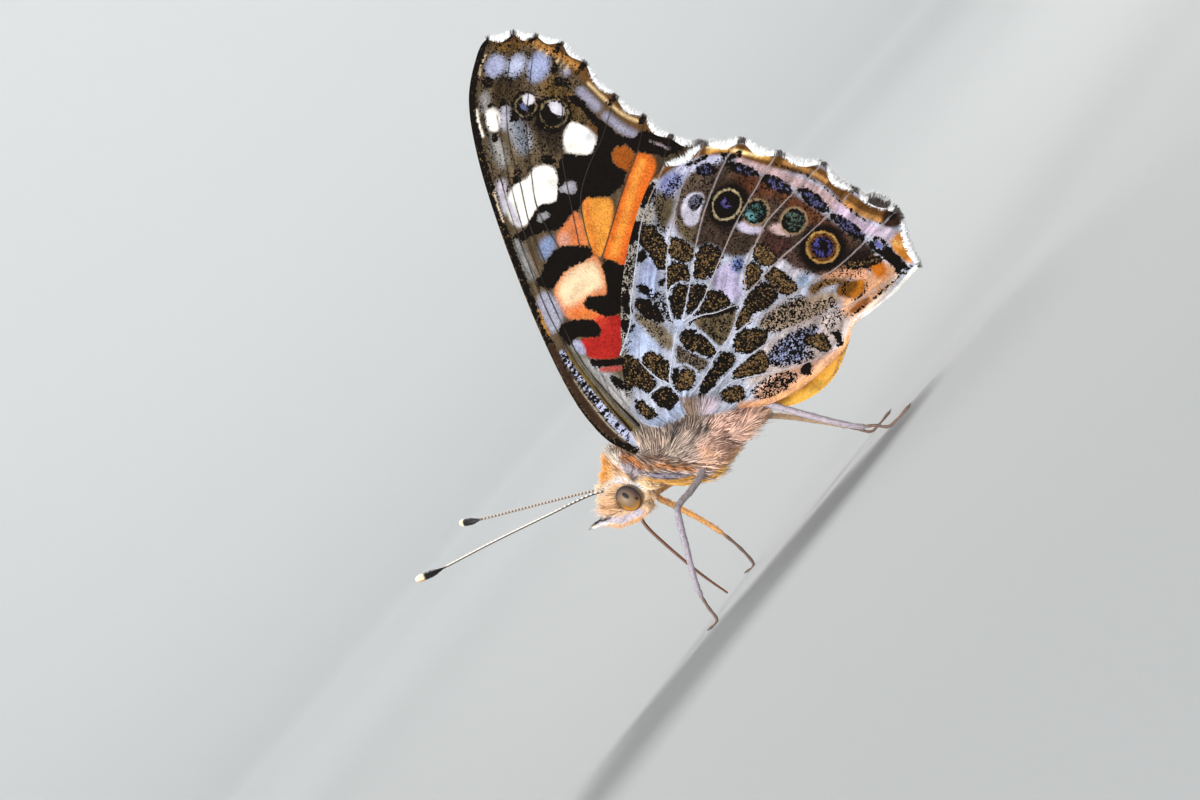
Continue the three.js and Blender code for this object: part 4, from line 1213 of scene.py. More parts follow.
def grow_fringe(kind, word, side, shape, count, material):
    """Long white scales in the bays of the margin, short dark ones at the ends of the veins."""
    v = np.clip((np.arange(count) + chance.rand(count)) / count, 0.002, 0.998)
    root, tip = margin(shape, v), margin(shape, v, membrane=False)
    way = Line(shape["ends"]).heading(v)
    outward = np.stack([-way[:, 1], way[:, 0]], 1)
    lock = clouds(np.stack([v * 100, v * 0], 1), 0.35, 91)
    reach = np.linalg.norm(tip - root, axis=1) * (0.75 + 0.5 * lock)
    root = root - outward * FRINGE_ROOT
    slant = outward + way * (0.5 * (lock - 0.5) + 0.3 * (chance.rand(count) - 0.4))[:, None]
    slant /= np.linalg.norm(slant, axis=1)[:, None]
    roots = in_place(root, shape["face"] + spread(root) - WING_SKIN * chance.rand(count), side)
    heading = np.stack([slant[:, 0], np.zeros(count), slant[:, 1]], 1)
    out = np.tile((0.0, float(side), 0.0), (count, 1))
    white = ease(bays(shape, v) + 0.16 * (chance.rand(count) - 0.5), 0.05, 0.2)
    gold, broad = np.zeros(count), np.zeros(count)
    if kind == "forewing":
        white = white * ease(15.9 - root[:, 0], 0, 1.2)
    elif kind == "rear":
        white, gold = white * 0 + 1, 1 - ease(root[:, 0], 12.4, 13.6)
    else:
        # Dark tufts stand among the white ones in the bay before the last vein
        bay = ease(np.abs(root[:, 1] - 10.9), 0.8, 0.6) * ease(root[:, 0], 19, 20)
        tuft = bay * (chance.rand(count) < 0.75)
        white = np.maximum(white, bay) * (1 - tuft)
        white *= ease(np.abs(root[:, 1] - 9.4) + (root[:, 0] < 19.5), 0.3, 0.6)
        reach = reach + 0.5 * bay - 0.5 * tuft
        roots += heading * (0.25 * tuft)[:, None] + out * (0.06 * tuft)[:, None]
        broad = 0.06 * tuft
    white, gold = white[:, None], gold[:, None]
    tint = tone("#2a1d15") * (1 - white) + white + (tone("#ffc070") - white) * gold
    tint = tint * (1.15 + 0.2 * chance.rand(count, 1))
    low, size = extent(shape)
    length = (reach + FRINGE_ROOT + 0.25 * chance.rand(count) ** 2) * (0.5 if kind == "rear" else 1)
    width = 0.035 + 0.025 * chance.rand(count) + broad
    lift = 0.2 * (chance.rand(count) - 0.5)
    places = (root - low) / size * 0.95
    lay_blades(f"{kind}_{word}_fringe", roots, heading, out, length, width, lift, tint, places, material)


# Body: one skin over head, thorax, abdomen and palps
def lobe(start, end, wide, up, down, shrink):
    """A rounded lobe along a line, given by its half width and its depth above and below."""
    bm = bmesh.new()
    bmesh.ops.create_uvsphere(bm, u_segments=40, v_segments=40, radius=1)
    mesh = as_mesh("lobe", bm)
    ball = points_of(mesh)
    start, end = np.array(start, float), np.array(end, float)
    along = (end - start) / np.linalg.norm(end - start)
    start, end = start + along * shrink, end - along * shrink
    side = np.array([0.0, 1.0, 0.0])
    above = np.cross(side, along)
    above *= np.sign(above[2])
    t = (1 - ball[:, 2]) / 2

    def station(values):
        return Line([(v, 0) for v in values]).station(t)[:, 0] - shrink

    depth = np.where(ball[:, 0] > 0, station(up), station(down))
    points = start + (end - start) * t[:, None] + side * (ball[:, 1] * station(wide))[:, None]
    set_points(mesh, points + above * (ball[:, 0] * depth)[:, None])
    return mesh


# Each lobe: its two ends, its half widths, its depths above and below its line, and how much it is shrunk
LOBES = (
    ((-6.1, 0, 12.2), (4.3, 0, 9.6), (2.2, 2.3, 2.2, 2.15, 2.2), (3.6, 2.5, 2.3, 2.4, 2.9),
     (2.5, 3.65, 3.9, 3.85, 3.9), 0.32),
    ((3.6, 0, 9.95), (13.7, 0, 7.75), (1.35, 1.45, 1.45, 1.25, 1), (1.4, 1.45, 1.4, 1.2, 1),
     (1.4, 1.5, 1.5, 1.3, 1), 0.3),
    ((-8.35, 0, 10.95), (-5, 0, 10.65), (1.2, 1.15, 1.1, 1.1, 1.2), (1.5, 1.65, 2.1, 3, 3.3),
     (1.2, 1.7, 2.2, 2.6, 2.8), 0.3),
    ((-6.2, 0, 10.6), (-3.9, 0, 10.9), (1.1, 1.3, 1.5, 1.6, 1.6), (2.4, 2.6, 2.7, 2.7, 2.6),
     (1.5, 1.6, 1.6, 1.5, 1.4), 0.2),
)
PALP_LOBE = (
    (-5.9, 0.62, 8.95), (-10.5, 0.4, 11.05), (0.42, 0.4, 0.36, 0.32, 0.3), (0.3, 0.32, 0.5, 0.5, 0.4),
    (1.1, 1, 0.8, 0.42, 0.35), 0.12,
)


def make_skin_mesh():
    bm = bmesh.new()
    for shape in LOBES:
        bm.from_mesh(lobe(*shape))
    for _, side in SIDES:
        (x, y, z), (tip_x, tip_y, tip_z), *rest = PALP_LOBE
        bm.from_mesh(lobe((x, side * y, z), (tip_x, side * tip_y, tip_z), *rest))
    bmesh.ops.remove_doubles(bm, verts=bm.verts[:], dist=1e-4)
    bmesh.ops.recalc_face_normals(bm, faces=bm.faces[:])
    voxels = ("REMESH", {"mode": "VOXEL", "voxel_size": 0.13})
    return applied(as_mesh("flesh", bm), voxels, ("SMOOTH", {"factor": 0.5, "iterations": 8}))


def body_pattern(plane):
    """Colours of skin and coat, drawn in the side view."""
    p = Pattern(plane, "#d0b9aa")
    p.wash("#f8cc9c", ((-11, 7.5), (-11, 12), (-6.5, 13), (-5.4, 12), (-4.9, 10), (-5, 7.5)), 0.3)
    # The lower chest: its own pinkish hair, made lighter and warmer with painted light reflected from below
    p.wash("#ffd2bc", p.oval((1.2, 8.1), (4, 1.5)), 0.6)
    p.wash("#bdb2c6", p.oval((2.6, 10.2), (1.5, 0.8), -10), 0.5)
    p.wash("#8f7460", p.oval((0.3, 10.7), (0.9, 0.8)), 0.4)
    p.wash("#b39a86", p.oval((-2.2, 11.4), (1.3, 1.3)), 0.6, 0.7)
    p.wash("#a98456", p.oval((10, 8.6), (5.4, 1.8), -10), 0.5)
    # The belly's edge: painted warm light reflected up from below, in orange and peach over its own pale hair
    p.wash("#ffcc94", p.line(((-2.4, 7.6), (0, 6.8), (2.4, 6.6), (5, 6.8)), 0.7), 0.5)
    p.wash("#ffd08a", p.line(((-1.6, 6.7), (1, 6.1), (4, 6.1)), 0.3), 0.3)
    p.wash("#3f2c26", p.line(((-1.8, 10.8), (-1.1, 10.7), (-0.6, 10.55)), 0.22), 0.15)
    # Along the crease between the thorax's middle and rear segments: some darker tufts, and painted shade in
    # the crease
    p.wash("#6b4630", p.line(((-1, 9.7), (-0.7, 10.1), (-0.4, 10.4)), 0.14), 0.2)
    p.wash("#3a2620", p.oval((-0.1, 9.6), (0.36, 0.24), -40), 0.12)
    p.wash("#33211c", p.line(((0.2, 8.7), (0.8, 8.1)), 0.19), 0.14)
    p.wash("#7a5444", p.line(((1.4, 7.3), (2.5, 7.25), (3.9, 7.9)), 0.07), 0.12)
    # Collar: cream, then orange, then the grey and the tawny stripe down to the forelegs
    p.wash("#ffe0b4", p.line(((-8.6, 11.6), (-7.9, 12), (-6.9, 12.5), (-6.5, 13)), 0.6), 0.3)
    p.wash("#ffb23a", p.line(((-6.7, 12.2), (-6.3, 12.8), (-6, 13.3)), 0.42), 0.25)
    p.wash("#8a5524", p.line(((-5.8, 11.9), (-5.7, 12.6)), 0.16), 0.2)
    p.wash("#ffeedd", p.line(((-5.45, 12.3), (-5.45, 13), (-5.4, 13.9)), 0.26), 0.12)
    p.wash("#a9683a", p.line(((-4.85, 14.3), (-4.85, 13.2), (-4.6, 12.2)), 0.32), 0.1)
    p.wash("#c3bac4", p.line(((-5.3, 11.7), (-5, 11), (-4.3, 9.9), (-3.2, 8.9), (-2.2, 8.3)), 0.28), 0.2)
    p.wash("#5e5358", p.line(((-4.75, 11.5), (-4.25, 10.3), (-3.4, 9.3)), 0.14), 0.15, 0.8)
    p.wash("#cf8238", p.line((
        (-4.6, 14.2), (-4.5, 12.8), (-3.95, 11.3), (-3.25, 10), (-2.4, 8.9),
    ), 0.14), 0.12)
    p.wash("#6b4630", p.line((
        (-4.2, 14.2), (-4.2, 12.8), (-3.6, 11.3), (-2.9, 10), (-2.1, 8.9),
    ), 0.12), 0.12)
    p.wash("#ffc35c", p.line(((-5.2, 9.3), (-4.5, 9.1), (-3.4, 8.3), (-1.9, 7.6)), 0.38), 0.2)
    # Head
    p.wash("#ffe6ca", p.line(((-8.8, 11.1), (-8.4, 11.8)), 0.45), 0.3)
    p.wash("#b0703c", p.line(((-8, 10.9), (-7.7, 10.6)), 0.14), 0.2, 0.8)
    p.wash("#fff0e0", p.line(((-7.3, 11.6), (-6.6, 11.75), (-6.1, 11.5)), 0.16), 0.2)
    # The cheek: pale cream hair, made lighter still with painted light from below
    p.wash("#ffdcae", p.oval((-5.4, 9.6), (0.95, 1.35), 10), 0.3)
    p.wash("#fffaff", p.line(((-6.3, 11.45), (-5.85, 10.95), (-5.72, 10.2), (-5.85, 9.6)), 0.13), 0.08)
    # Painted shade: a dark lilac spot behind the white crescent of the eye
    p.wash("#4a3d44", p.oval((-5.5, 11.1), (0.16, 0.3)), 0.15)
    # Palps: lilac side, black upper edge, cream and orange fringe below
    p.wash("#ffe9cf", p.line(((-10, 10.6), (-9, 9.8), (-8, 9), (-7, 8.6), (-5.6, 8.6)), 0.44), 0.2)
    p.wash("#ffbf78", p.line(((-9.6, 10.3), (-8.8, 9.8), (-7.9, 9.2), (-7, 8.85), (-6, 8.8)), 0.12), 0.12)
    p.wash("#cabfcb", p.line((
        (-9.3, 10.55), (-8.6, 10.2), (-7.8, 9.65), (-7, 9.2), (-6.6, 9.1),
    ), 0.22), 0.12)
    # Painted highlight: a white line along the palp, under its black upper edge
    p.wash("#ffffff", p.line(((-10.3, 10.76), (-9.7, 10.64), (-9.1, 10.36)), 0.06), 0.06)
    p.wash("#1d181c", p.line(((-10.5, 10.95), (-9.6, 10.85), (-8.9, 10.5), (-8.4, 10.24)), 0.08), 0.04)
    return p


# How the hair lies: place in the side view, its way in degrees (0 rearward, 90 up), length and stand
HAIR_LIE = (
    (-8.3, 11, 160, 1, 1.4), (-8.2, 11.6, 142, 1.1, 1.4), (-7.8, 12.1, 125, 0.8, 1),
    (-7.7, 11.2, 140, 0.6, 0.9), (-6.9, 12.6, 112, 0.8, 0.8), (-6, 13.4, 98, 0.9, 0.6),
    (-5.2, 13.9, 85, 0.9, 0.5), (-5.6, 11.9, 80, 0.5, 0.3), (-6.5, 11.9, 105, 0.4, 0.4),
    (-5.3, 10.6, -30, 0.5, 0.3), (-5.4, 9.4, -20, 0.7, 0.3), (-4.7, 13.6, -88, 1, 0.15),
    (-4.4, 12.3, -78, 1.1, 0.15), (-3.9, 11.2, -68, 1.1, 0.15), (-3.3, 10.1, -58, 1, 0.2),
    (-2.7, 9.2, -46, 1.2, 0.4), (-3.2, 11.9, 62, 1.4, 0.35), (-3, 11.1, 50, 1.4, 0.35),
    (-2.4, 10, 10, 1.2, 0.3), (-2, 11.2, 40, 1.5, 0.3), (-1.4, 10.4, 8, 1.5, 0.25), (-1, 11.4, 56, 1, 0.35),
    (0.4, 10.8, 58, 1.9, 0.35), (1.5, 10.3, 36, 2, 0.3), (-1.4, 9.4, -6, 1.4, 0.25),
    (0.9, 9.6, 12, 1.4, 0.25), (2.4, 9.2, -12, 1.3, 0.25), (-2, 8.7, -42, 1.7, 0.9),
    (-1.2, 8.7, -44, 1.7, 0.8), (0.3, 8.2, -42, 1.4, 0.35), (1.5, 8.4, -24, 1.4, 0.5),
    (2.9, 8.5, -8, 1.5, 0.4), (0, 7, -24, 1.3, 0.7), (1.6, 7, -14, 1.6, 0.7), (2.7, 7.5, -16, 1.6, 0.5),
    (3.6, 7.8, -16, 1.6, 0.5), (4.5, 9, 0, 0.9, 0.3), (8, 8.5, -5, 0.7, 0.25), (13, 7.5, -5, 0.9, 0.4),
    (-2, 14, 15, 1, 0.3),
)
PALP_LIE = (
    (-10.2, 11, 172, 0.35, 0.05), (-9.4, 10.8, 162, 0.45, 0.08), (-8.5, 10.3, 158, 0.5, 0.1),
    (-7, 9.3, 165, 0.5, 0.1), (-9.6, 10.2, 176, 0.5, 0.4), (-8.4, 9.4, 195, 0.55, 0.5),
    (-7, 8.5, 220, 0.6, 0.5), (-5.8, 8.4, 250, 0.6, 0.5),
)


def lie_at(plane, table):
    """The lie of the hair at each place, blended from the table's places near it."""
    table = np.array(table, float)
    gaps = ((plane[:, None, :] - table[None, :, :2]) ** 2).sum(2)
    share = 1 / (gaps + 0.12) ** 2
    share /= share.sum(1)[:, None]
    angle = np.radians(table[:, 2])
    way = np.stack([share @ np.cos(angle), share @ np.sin(angle)], 1)
    return way / np.linalg.norm(way, axis=1)[:, None], share @ table[:, 3], share @ table[:, 4]


def scatter(points, corners, weights, count):
    """Random places on triangles, with the way the surface faces there."""
    a, b, c = (points[corners[:, k]] for k in range(3))
    normal = np.cross(b - a, c - a)
    area = np.linalg.norm(normal, axis=1) / 2
    chosen = chance.choice(len(corners), count, p=area * weights / (area * weights).sum())
    r, s = np.sqrt(chance.rand(count, 1)), chance.rand(count, 1)
    spots = a[chosen] * (1 - r) + b[chosen] * r * (1 - s) + c[chosen] * r * s
    return spots, normal[chosen] / (2 * area[chosen][:, None])


BODY_AXIS_HEIGHT = 9.5


def grow_coat(name, skin, where, count, width, table, material):
    points, corners = skin
    weights = where(points[corners].mean(1)).astype(float)
    roots, out = scatter(points, corners, weights, count)
    low, high = points.min(0), points.max(0)
    # The map unrolls the skin: along the body one way, round it the other
    round_way = np.arctan2(roots[:, 1], roots[:, 2] - BODY_AXIS_HEIGHT) / (2 * math.pi) + 0.5
    places = np.stack([(roots[:, 0] - low[0]) / (high[0] - low[0]), round_way], 1) * 0.99
    lay_coat(name, roots - out * 0.04, out, width, table, material, places)


def lay_coat(name, roots, out, width, table, material, places):
    """Lays tufts in locks: neighbours share their swing and their shade."""
    count = len(roots)
    side_view = roots[:, [0, 2]]
    lie, length, lift = lie_at(side_view, table)
    lock = clouds(side_view, 0.9, 81) + 0.6 * clouds(side_view, 0.3, 82) - 0.8
    swing = np.radians(40 * lock + chance.normal(0, 6, count))
    c, s = np.cos(swing), np.sin(swing)
    heading = np.stack([lie[:, 0] * c - lie[:, 1] * s, np.zeros(count), lie[:, 0] * s + lie[:, 1] * c], 1)
    heading -= out * (heading * out).sum(1)[:, None] * 0.85
    heading /= np.linalg.norm(heading, axis=1)[:, None]
    stand = out - heading * (heading * out).sum(1)[:, None]
    stand /= np.linalg.norm(stand, axis=1)[:, None]
    # Strands: a shade that runs on along the lie and changes quickly across it
    away = side_view - np.array((-1.0, 10.5))
    across = away[:, 1] * lie[:, 0] - away[:, 0] * lie[:, 1]
    strand = clouds(np.stack([(away * lie).sum(1) * 0.16, across], 1), 0.17, 83)
    shade = 0.3 + 0.95 * strand + 0.5 * chance.rand(count)
    shade += 0.25 * ease(-side_view[:, 0], 5, 6)  # painted light: the face's hair is made lighter, as on a brightly lit head
    shade += (1.08 - shade) * 0.5 * ease(-side_view[:, 1], -9.8, -8.6)  # the belly is more even
    tint = body_pattern(side_view).ground * shade[:, None]
    length = length * (0.7 + 0.6 * chance.rand(count))
    width = width * (0.7 + 0.6 * chance.rand(count))
    lift = lift * (0.6 + 0.8 * chance.rand(count))
    lay_blades(name, roots, heading, stand, length, width, lift, tint, places, material, curl=0.45)


# The hair that covers the hindwing's root; its tips reach one length further
ROOT_HAIR = (
    (-3.2, 11.4), (-2.6, 11.8), (-1.9, 11.2), (-1.2, 10.7), (-0.4, 10.4), (0.2, 10.6), (0.6, 10.9),
    (1.1, 10.6), (1.6, 10.2), (1.7, 9.7), (1.6, 9.4), (2.2, 9.1), (2.8, 8.8), (3.3, 8.4), (3.4, 7.9),
    (0, 8), (-3, 9.8),
)


def make_root_hair(word, side, material):
    shape = hindwing_shape(side)
    u, v = 0.22 * chance.rand(60000), chance.rand(60000)
    kept = np.flatnonzero(patch(wing_plane(shape, u, v), ROOT_HAIR) > 0)[:600]
    u, v = u[kept], v[kept]

    def face(u, v):
        at = wing_plane(shape, u, v)
        return np.stack([at[:, 0], side * (wing_face(shape, at, u) - 0.02), at[:, 1]], 1)

    roots, step = face(u, v), 0.004
    plane = roots[:, [0, 2]]
    out = np.cross(face(u + step, v) - roots, face(u, v + step) - roots)
    out *= (side * np.sign(out[:, 1]) / np.linalg.norm(out, axis=1))[:, None]
    places = (plane - plane.min(0)) / (plane.max(0) - plane.min(0)) * 0.99
    lay_coat(f"wing_root_coat_{word}", roots, out, 0.06, HAIR_LIE, material, places)


def hide_material():
    """Skin: matte, finely pitted, seen only between the hairs."""
    material, tree, shader = surface("hide under the hair", 0.8)
    here = add(tree, "TexCoord").outputs["Object"]
    pores = add(tree, "TexNoise", {"Vector": here, "Scale": 1 / (0.12 * MM), "Detail": 3.0})
    level = add(tree, "MapRange", {0: pores, 3: 0.6, 4: 1.2})
    finish_surface(tree, shader, level=level, relief=(pores.outputs["Fac"], 0.6, 0.05))
    return material


# Which hair grows where on the skin
def clear_of_eyes(at):
    return ((at[:, 0] + 6.75) / 0.82) ** 2 + ((at[:, 2] - 10.35) / 0.96) ** 2 > 1


def on_palps(at):
    low = at[:, 2] < 11.35 - 0.46 * (at[:, 0] + 10.5)
    return (at[:, 0] < -5.5) & (low | (at[:, 0] < -8.6)) & (np.abs(at[:, 1]) > 0.05)


def on_face(at):
    return (at[:, 0] < -5.0) & ~on_palps(at) & clear_of_eyes(at)


def make_body(hair):
    mesh = make_skin_mesh()
    points = points_of(mesh)
    mesh.calc_loop_triangles()
    corners = np.empty(len(mesh.loop_triangles) * 3, np.int32)
    mesh.loop_triangles.foreach_get("vertices", corners)
    skin = (points, corners.reshape(-1, 3))
    store(mesh, "tint", body_pattern(points[:, [0, 2]]).ground * 0.6)
    covered = ["head", "thorax", "abdomen", "palp_left", "palp_right"]
    put("body_skin", mesh, hide_material(), covered)
    grow_coat("palp_coat", skin, on_palps, 5000, 0.035, PALP_LIE, hair)
    grow_coat("head_coat", skin, on_face, 8000, 0.042, HAIR_LIE, hair)
    for word, side in SIDES:

        def on_chest(at, side=side):
            return (at[:, 0] > -5.4) & (at[:, 0] < 4.8) & (at[:, 1] * side > 0)

        grow_coat(f"thorax_coat_{word}", skin, on_chest, 7500, 0.066, HAIR_LIE, hair)
        make_root_hair(word, side, hair)
    grow_coat("abdomen_coat", skin, lambda at: at[:, 0] > 4.2, 4000, 0.05, HAIR_LIE, hair)


def round_limb(line, share):
    """A limb at each share of it: its midline, its heading, a way out of it and that way's turn about it."""
    turn = chance.rand(len(share)) * 2 * math.pi
    heading, across, other = frame_along(line, share)
    out = across * np.cos(turn)[:, None] + other * np.sin(turn)[:, None]
    return line.at(share), heading, out, turn


def limb_map(share, turn):
    """A place on the map for each share of a limb and turn about it."""
    return np.stack([share, turn / (2 * math.pi)], 1) * 0.99


def hide_leg_roots(hair):
    """The chest's hair closes over the first joints of the legs."""
    for name, path in LEG_PATHS.items():
        share = (0.17 if "hind" in name else 0.07) * chance.rand(500)
        middle, _, out, turn = round_limb(Line(path), share)
        roots = middle + out * 0.2
        lay_coat(f"{name}_root_coat", roots, out, 0.05, HAIR_LIE, hair, limb_map(share, turn))


# Eyes
EYE_CENTRE = (-6.75, 1.0, 10.35)
EYE_RADII = (0.84, 0.62, 1.0)


def eye_material():
    """Compound eye: softly glossy, finely facetted."""
    material, tree, shader = surface(
        "compound eye", 0.5, Specular_IOR_Level=0.35, Coat_Weight=0.1, Coat_Roughness=0.3,
    )
    here = add(tree, "TexCoord").outputs["Object"]
    lens_size = 0.05 * MM  # a lens is 0.025 mm; drawn twice as wide so that it shows
    lenses = add(tree, "TexVoronoi", {"Vector": here, "Scale": 1 / lens_size})
    finish_surface(tree, shader, relief=(lenses.outputs["Distance"], 0.25, 0.01), dented=True)
    return material


def make_eyes():
    """Olive grey eyes with a gold lower edge and a dark spot that looks out sideways."""
    material = eye_material()
    for word, side in SIDES:
        bm = bmesh.new()
        bmesh.ops.create_uvsphere(bm, u_segments=96, v_segments=64, radius=1)
        mesh = as_mesh(f"eye_{word}", bm)
        x, y, z = EYE_CENTRE
        points = points_of(mesh) * np.array(EYE_RADII) + np.array((x, side * y, z))
        set_points(mesh, points)
        store(mesh, "tint", eye_pattern(points[:, [0, 2]]).ground)
        put(f"eye_{word}_globe", mesh, material, [f"eye_{word}"])


def eye_pattern(plane):
    p = Pattern(plane, "#866a4e")
    p.wash("#7c5c30", p.line(((-7.55, 10.9), (-7.5, 10.4), (-7.2, 9.9)), 0.24), 0.3)
    # Painted shade: the top and rear of the eye are darker
    p.wash("#3b3746", p.line(((-7.2, 11.3), (-6.5, 11.3), (-6, 10.8), (-5.95, 10)), 0.26), 0.35)
    p.wash("#c8801e", p.line(((-7.45, 10), (-7.2, 9.65), (-6.8, 9.45), (-6.3, 9.5), (-6.05, 9.7)), 0.18), 0.2)
    p.wash("#e8ae50", p.line(((-7.1, 9.5), (-6.7, 9.36), (-6.3, 9.42)), 0.06), 0.1)
    p.wash("#050404", p.oval((-6.64, 10.68), (0.16, 0.3), 8), 0.04)
    p.wash("#231c1a", p.oval((-6.28, 9.95), (0.09, 0.15), 20), 0.06)
    p.wash("#3b342e", p.oval((-7.4, 10.65), (0.06, 0.14)), 0.06, 0.7)
    p.wash("#241c1a", p.ring((-6.75, 10.35), (0.82, 0.98), 0.06), 0.06)
    return p


# Limbs: tubes swept along a smooth path
def frame_along(line, share):
    """A line's heading at each share of it, and two directions across it."""
    heading = line.heading(share, line.at)
    across = np.cross((0.0, 1.0, 0.0), heading)
    across /= np.linalg.norm(across, axis=1)[:, None]
    return heading, across, np.cross(heading, across)


def tube(path, radii, sides, steps):
    """A closed tube along a path; also gives the share of the path at each point."""
    bm = bmesh.new()
    bmesh.ops.create_cone(bm, cap_ends=True, segments=sides, radius1=1, radius2=1, depth=1)
    bmesh.ops.subdivide_edges(bm, edges=long_edges(bm), cuts=steps - 1, use_grid_fill=True)
    mesh = as_mesh("tube", bm)
    straight = points_of(mesh)
    t = straight[:, 2] + 0.5
    line = Line(path)
    _, across, other = frame_along(line, t)
    radius = radii(t) if callable(radii) else np.interp(t, np.linspace(0, 1, len(radii)), radii)
    points = line.at(t) + across * (straight[:, 0] * radius)[:, None]
    points += other * (straight[:, 1] * radius)[:, None]
    points[:, 2] = np.maximum(points[:, 2], 0)
    set_points(mesh, points)
    face_outwards(mesh)
    return mesh, t, line


ANTENNA_PATHS = {
    "left": ((-6.9, -0.5, 11.3), (-8.3, -1.0, 12.5), (-11.2, -2.7, 13.95), (-15.0, -5.1, 15.8),
             (-18.2, -7.1, 17.25), (-19.9, -8.1, 18.15)),
    "right": ((-6.9, 0.5, 11.4), (-8.6, 1.3, 12.6), (-11.1, 3.1, 14.0), (-14.4, 5.5, 15.8),
              (-16.8, 7.1, 17.15), (-18.1, 8.1, 17.95)),
}
ANTENNA_RINGS = 46
SHAFT, CLUB = 0.085, 0.27


def antenna_radius(t):
    joint = 0.5 - 0.5 * np.cos(2 * np.pi * t * ANTENNA_RINGS)
    club = ease(t, 0.86, 0.925)
    round_end = np.sqrt(np.clip(1 - np.clip((t - 0.97) / 0.03, 0, 1) ** 2, 0.02, 1))
    return (SHAFT * (0.9 + 0.15 * joint) * (1 - club) + CLUB * (0.97 + 0.05 * joint) * club) * round_end


def make_antennae():
    """Feelers: dark horn with a pale ring of scales on each joint, and a black club with a cream tip."""
    material, tree, shader = surface("ringed horn", 0.5)
    finish_surface(tree, shader)
    for word, side in SIDES:
        mesh, t, line = tube(ANTENNA_PATHS[word], antenna_radius, 16, ANTENNA_RINGS * 8)
        # How squarely each point faces a light from above and from the near side
        lit = (points_of(mesh) - line.at(t)) @ np.array((0.0, -0.3 - 0.2 * (side + 1), 0.8)) / SHAFT
        joint = (t * ANTENNA_RINGS) % 1
        gaps = 1 - ease(joint, 0.22, 0.4) * (1 - ease(joint, 0.72, 0.9))
        gaps *= 1 if side > 0 else 1 - 0.8 * ease(t, 0.2, 0.35)  # on the left one the pale scales nearly meet
        # Painted light: the pale scales show only on the side turned to that light
        pale = (1 - gaps) * (1 - ease(t, 0.84, 0.88)) * (ease(t, 0.02, 0.06) * ease(lit, 0.0, 0.45))
        tip = ease(t, 0.958, 0.97)
        tint = blend(tone("#4a3626"), tone("#cdbdb0" if side > 0 else "#fffcf0"), pale)
        for colour, cover in (
            ("#0d0b0c", ease(t, 0.84, 0.88)),
            ("#fbe6c2", tip),
            # Painted shade: the cream tip turns amber on its side away from the light
            ("#c4803c", tip * ease(-lit, 0.4, 1.6)),
        ):
            tint = tint + (tone(colour) - tint) * cover[:, None]
        store(mesh, "tint", tint)
        put(f"antenna_{word}_horn", mesh, material, [f"antenna_{word}"])


PROBOSCIS_PATH = ((-6.9, 9.4), (-7.55, 8.3), (-7.7, 6.2), (-7.65, 3), (-7.4, 0.5))
PROBOSCIS_RADII = (0.12, 0.11, 0.1, 0.09, 0.06)
PROBOSCIS_HALF_GAP = 0.09


def make_proboscis():
    """Two dark amber tubes side by side, finely ringed."""
    material, tree, shader = surface("dark amber tube", 0.35, Coat_Weight=0.2)
    here = add(tree, "TexCoord").outputs["Object"]
    ring_step = 0.09 * MM
    rings = add(tree, "TexWave", {"Vector": here, "Scale": 1 / (6.3 * ring_step), "Distortion": 0.6},
                bands_direction="Z")
    amber = add(tree, "Mix", {0: rings.outputs["Fac"], MIX_A: rgba("#2a140a"), MIX_B: rgba("#8a4f26")},
                data_type="RGBA")
    finish_surface(tree, shader, amber.outputs[MIX_OUT], relief=(rings.outputs["Fac"], 0.4, 0.01))
    bm = bmesh.new()
    for y in (-PROBOSCIS_HALF_GAP, PROBOSCIS_HALF_GAP):
        mesh, _, _ = tube([(x, y, z) for x, z in PROBOSCIS_PATH], PROBOSCIS_RADII, 14, 90)
        bm.from_mesh(mesh)
    put("proboscis_tube", as_mesh("proboscis_tube", bm), material, ["proboscis"])


# Legs: thigh, shin, five foot segments, two claws
SOLE = 0.11
LEG_PATHS = {
    "midleg_left": (
        (-0.9, -1, 8.3), (-1.6, -1.7, 7.7), (-3, -2.8, 7.5), (-4.2, -3.6, 7.5), (-4.75, -3.85, 7.1),
        (-6.15, -4.1, 5.1), (-7.7, -4.4, 2.7), (-8.2, -4.6, 1.3), (-8.5, -4.75, SOLE), (-9.3, -4.95, SOLE),
    ),
    "midleg_right": (
        (-0.9, 1, 8.3), (-1.9, 1.8, 7.8), (-4, 2.9, 8.4), (-5.7, 3.5, 8.85), (-6.1, 3.65, 8.5),
        (-5.75, 4, 6.9), (-5.3, 4.5, 4.3), (-5.2, 4.9, 2), (-5.5, 5.15, SOLE), (-6.3, 5.3, SOLE),
    ),
    "hindleg_left": (
        (1.3, -0.9, 8.2), (2.2, -1.25, 7.6), (3.8, -1.45, 7.6), (4.75, -1.55, 7.75), (5.15, -1.75, 7.35),
        (6.9, -3.1, 4.3), (8.4, -4.1, 1.9), (9.4, -4.45, 0.95), (10.2, -4.65, SOLE), (12.2, -5.1, SOLE),
    ),
    "hindleg_right": (
        (1.3, 0.9, 8.2), (1.9, 1.25, 7.6), (2.6, 1.6, 7.6), (3.15, 1.95, 7.65), (3.45, 2.2, 7.25),
        (4.85, 3.3, 5.1), (6.4, 4.1, 2.4), (7.1, 4.45, 1), (7.7, 4.7, SOLE), (9.5, 5.15, SOLE),
    ),
}
LEG_COLOURS = {
    "midleg_left": ("#8f8283", "#a99da8"),
    "midleg_right": ("#dca05c", "#eaa658"),
    "hindleg_left": ("#d0a294", "#aa9da6"),
    "hindleg_right": ("#c39a6c", "#b3936f"),
}
KNEE = 3.5 / 9  # the knee's and ankle's place among the path's points
ANKLE = 6.4 / 9


